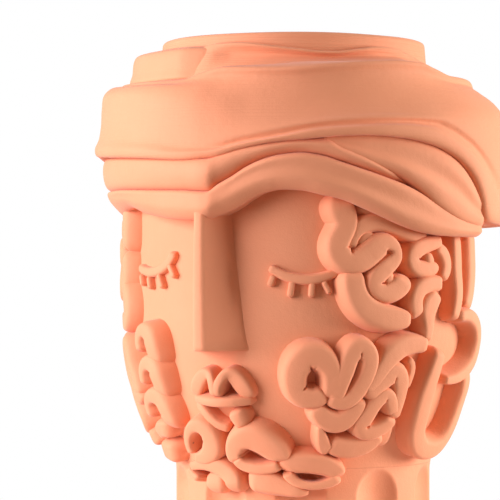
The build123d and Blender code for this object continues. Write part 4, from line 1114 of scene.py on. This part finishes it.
# Ears and earrings of the head's left side
EARS = {
    "ear": (12.0, [
        [(84.2, 226, 6), (84.6, 213, 7), (85, 200, 7.2), (85.8, 186, 7), (84.8, 173, 6.4),
         (82.8, 163, 5)],
        [(95.5, 227, 8, 10.5), (97, 213, 9, 10.5), (97.5, 198, 9, 10.5), (96, 184, 8, 10.5),
         (92, 170, 6, 10.5)]]),
    "ear_lobe": (14.0, [
        [(84.5, 166, 5), (91, 167, 6.2), (98, 161, 7), (101, 148.5, 7.4), (98.5, 136, 7.2),
         (92, 128, 6.6), (85, 124.5, 5.2), (80, 124, 3.8)]]),
    "earring": (14.0, [
        [(77, 146, 7), (75, 131, 8), (73.3, 116, 9.4), (72.8, 101, 10), (73.6, 88, 10), (78, 79, 9.8),
         (85.5, 76, 9.4), (92.5, 81.5, 9), (95.5, 94, 8.6), (96, 110, 8.2), (95.5, 124, 7.8),
         (94.5, 136, 6.4, 9)]]),
}
LIDS = {
    "left_eyelid": [
        [(18, 200, 3.0), (23, 194.2, 3.6), (28, 191.8, 3.8), (33.4, 192, 3.8), (41, 197.6, 3)]],
    "right_eyelid": [
        [(-17.6, 211, 3.2), (-19.6, 205.5, 3.6), (-22.8, 200.8, 3.8), (-26.7, 198, 3.8),
         (-33.5, 197, 3.6), (-41.4, 200.4, 3)]],
    "left_eyelashes": [
        [(19.8, 195, 2.3), (18.2, 186.5, 2.4)],
        [(25.6, 191, 2.3), (24.8, 179, 2.4)],
        [(32, 190, 2.3), (31.6, 179, 2.4)],
        [(35.4, 191, 2.2), (37.8, 181.5, 2.2)]],
    "right_eyelashes": [
        [(-20.4, 203, 2.3), (-17.4, 192.4, 2.4)],
        [(-26.4, 196, 2.3), (-23.8, 185.2, 2.4)],
        [(-33, 194.4, 2.2), (-31.6, 184.6, 2.2)],
        [(-39.8, 196, 2.1), (-38, 187, 2.1)]],
}
# Lips: each row has its own rise
LIPS = {
    "upper_lip": [
        [(-10.8, 112, 4.4, 7), (-8.4, 119.6, 6.2, 9.5), (-4.9, 127.2, 5.4, 10.5), (-2.2, 128.6, 4, 12.5),
         (-0.4, 121.5, 4, 15.5), (0.2, 113, 4.4, 15.5)],
        [(11.6, 110.5, 4.4, 6), (9.2, 118.4, 6.6, 9), (5.8, 127.6, 5.8, 10.5), (3.7, 128.2, 4.2, 12.5),
         (1.2, 121, 4.2, 15.5), (0.6, 113, 4.4, 15.5)]],
    "lip_parting": [
        [(-11.6, 110.5, 2.8, 6), (-6, 110.8, 3.8, 12), (0, 110.6, 4.2, 14.5), (6, 110.4, 4, 12.5),
         (12.4, 109.6, 2.8, 6)]],
    "lower_lip": [
        [(-11, 109, 2.8, 6), (-7.6, 104, 3.8, 9.5), (-3, 95.5, 4, 10.5), (2.5, 91, 3.6, 9)],
        [(3, 95.4, 5.6, 10), (6.6, 98.8, 7.6, 12.5), (10.8, 101.6, 5.8, 8)]],
}
CURL_SQUARENESS = 5.0
CURL_LEAN = 0.2
CURL_SPREAD = 1.1
CURL_SLANT = 2.4
LID_RISE = 5.0
LID_SQUARENESS = 3.4
LID_SINK = 1.5
LIP_SQUARENESS = 4.0


def make_rolls():
    curl = partial(roll_piece, square=CURL_SQUARENESS, lean=CURL_LEAN)
    for name, (rise, strands) in CURLS.items():
        curl("left_" + name, spread(strands, CURL_SPREAD), rise, slant=CURL_SLANT)
        back = RIGHT_TEMPLE_BACK if name.startswith(("temple", "ear")) else RIGHT_BEARD_BACK
        rise, strands = RIGHT_CURLS.get(name, (rise, mirrored(strands, back)))
        curl("right_" + name, spread(strands, CURL_SPREAD), rise, slant=-CURL_SLANT)
    for name, (rise, strands) in CHIN.items():
        curl(name, spread(strands, CURL_SPREAD), rise)
    for name, (rise, strands) in EARS.items():
        curl("left_" + name, strands, rise)
        curl("right_" + name, mirrored(strands, RIGHT_TEMPLE_BACK), rise)
    for name, strands in LIDS.items():
        roll_piece(name, strands, LID_RISE, square=LID_SQUARENESS, sink=LID_SINK)
    for name, strands in LIPS.items():
        roll_piece(name, strands, square=LIP_SQUARENESS)


# Stage: floor, backdrop, lamps and camera
FLOOR_RADIUS = 0.37
FLOOR_HOLE = 0.0005
FLOOR_FADE = {"From Min": 0.18, "From Max": 0.36}
FLOOR_LEVEL = -0.02
FLOOR_RINGS = 24
FLOOR_SIDES = 96
PAPER_GREY = (0.9, 0.9, 0.9, 1.0)
BACKGROUND_WHITE = (1.0, 1.0, 1.0, 1.0)
AMBIENT = (1.0, 0.87, 0.77, 1.0)
AMBIENT_STRENGTH = 0.2


def make_floor():
    """A pale disc that takes the shadow and fades out at its rim."""
    turns = np.linspace(0, 360, FLOOR_SIDES, endpoint=False)
    rings = np.linspace(FLOOR_HOLE, FLOOR_RADIUS, FLOOR_RINGS)
    points = np.concatenate([around(turns, r / MM, FLOOR_LEVEL) for r in rings]) * MM
    faces = [tuple(reversed(face)) for face in grid_faces(FLOOR_RINGS, FLOOR_SIDES)]
    mesh = bpy.data.meshes.new("floor")
    mesh.from_pydata(points.tolist(), [], faces)
    paper = bpy.data.materials.new("floor_paper")
    tree = empty_tree(paper)
    place = shader(tree, "TexCoord").outputs["Object"]
    length = feed(tree, node(tree, "ShaderNodeVectorMath", operation="LENGTH"), _0=place)
    fade = node(tree, "ShaderNodeMapRange", interpolation_type="SMOOTHSTEP")
    feed(tree, fade, Value=length.outputs["Value"], **FLOOR_FADE)
    matte = shader(tree, "BsdfDiffuse", Color=PAPER_GREY).outputs[0]
    clear = shader(tree, "BsdfTransparent").outputs[0]
    both = shader(tree, "MixShader", _0=fade.outputs[0], _1=matte, _2=clear)
    shader(tree, "OutputMaterial", Surface=both.outputs[0])
    mesh.materials.append(paper)
    floor = placed("floor", mesh)


def make_world():
    """White behind the object, and a soft even light on it."""
    world = bpy.data.worlds.new("white_room")
    tree = empty_tree(world)
    path = shader(tree, "LightPath").outputs
    seen = maths(tree, "MAXIMUM", path["Is Camera Ray"], path["Is Glossy Ray"])
    seen = maths(tree, "MAXIMUM", seen, path["Is Transmission Ray"])
    soft = shader(tree, "Background", Color=AMBIENT, Strength=AMBIENT_STRENGTH)
    white = shader(tree, "Background", Color=BACKGROUND_WHITE, Strength=1.0)
    both = shader(tree, "MixShader", _0=seen, _1=soft.outputs[0], _2=white.outputs[0])
    shader(tree, "OutputWorld", Surface=both.outputs[0])
    bpy.context.scene.world = world


# Lamps: angle from the nose, elevation, distance, size, power, colour
LAMPS = {
    "key": (-39.0, 9.0, 1.5, (1.3, 1.0), 42.0, (0.98, 0.965, 1.13)),
    "fill": (116.0, 6.0, 1.5, (0.8, 0.7), 32.0, (1.0, 1.0, 1.06)),
    "top": (-10.0, 70.0, 1.5, (0.8, 0.8), 2.0, (1.0, 1.0, 1.0)),
}
LAMP_TARGET = np.array([0.0, 0.0, 0.2])


def make_lamps():
    for name, (angle, up, distance, size, power, colour) in LAMPS.items():
        lamp = bpy.data.lights.new(name, "AREA")
        lamp.shape = "RECTANGLE"
        lamp.size, lamp.size_y = size
        lamp.energy = power
        lamp.color = colour
        thing = placed(name, lamp)
        lift = math.radians(up)
        thing.location = LAMP_TARGET + around(angle, math.cos(lift), math.sin(lift)) * distance
        facing = (thing.location - Vector(LAMP_TARGET)).to_track_quat("Z", "Y")
        thing.rotation_euler = facing.to_euler()


CAMERA = {"angle": 29.0, "distance": 1.9, "height": 0.185, "lens": 187.85, "shift": (-0.106, 0.078)}


def make_camera():
    lens = bpy.data.cameras.new("camera")
    lens.sensor_width = 36.0
    lens.lens = CAMERA["lens"]
    lens.shift_x, lens.shift_y = CAMERA["shift"]
    lens.clip_start, lens.clip_end = 0.05, 20.0
    camera = placed("camera", lens)
    turn = math.radians(CAMERA["angle"])
    reach = CAMERA["distance"]
    camera.location = (reach * math.sin(turn), -reach * math.cos(turn), CAMERA["height"])
    camera.rotation_euler = (math.pi / 2, 0.0, turn)
    bpy.context.scene.camera = camera


make_head_wall()
make_base()
make_shoulder()
make_collar()
make_neck()
make_nose()
make_turban()
make_rolls()
make_floor()
make_world()
make_lamps()
make_camera()
bpy.context.scene.view_settings.view_transform = "Standard"
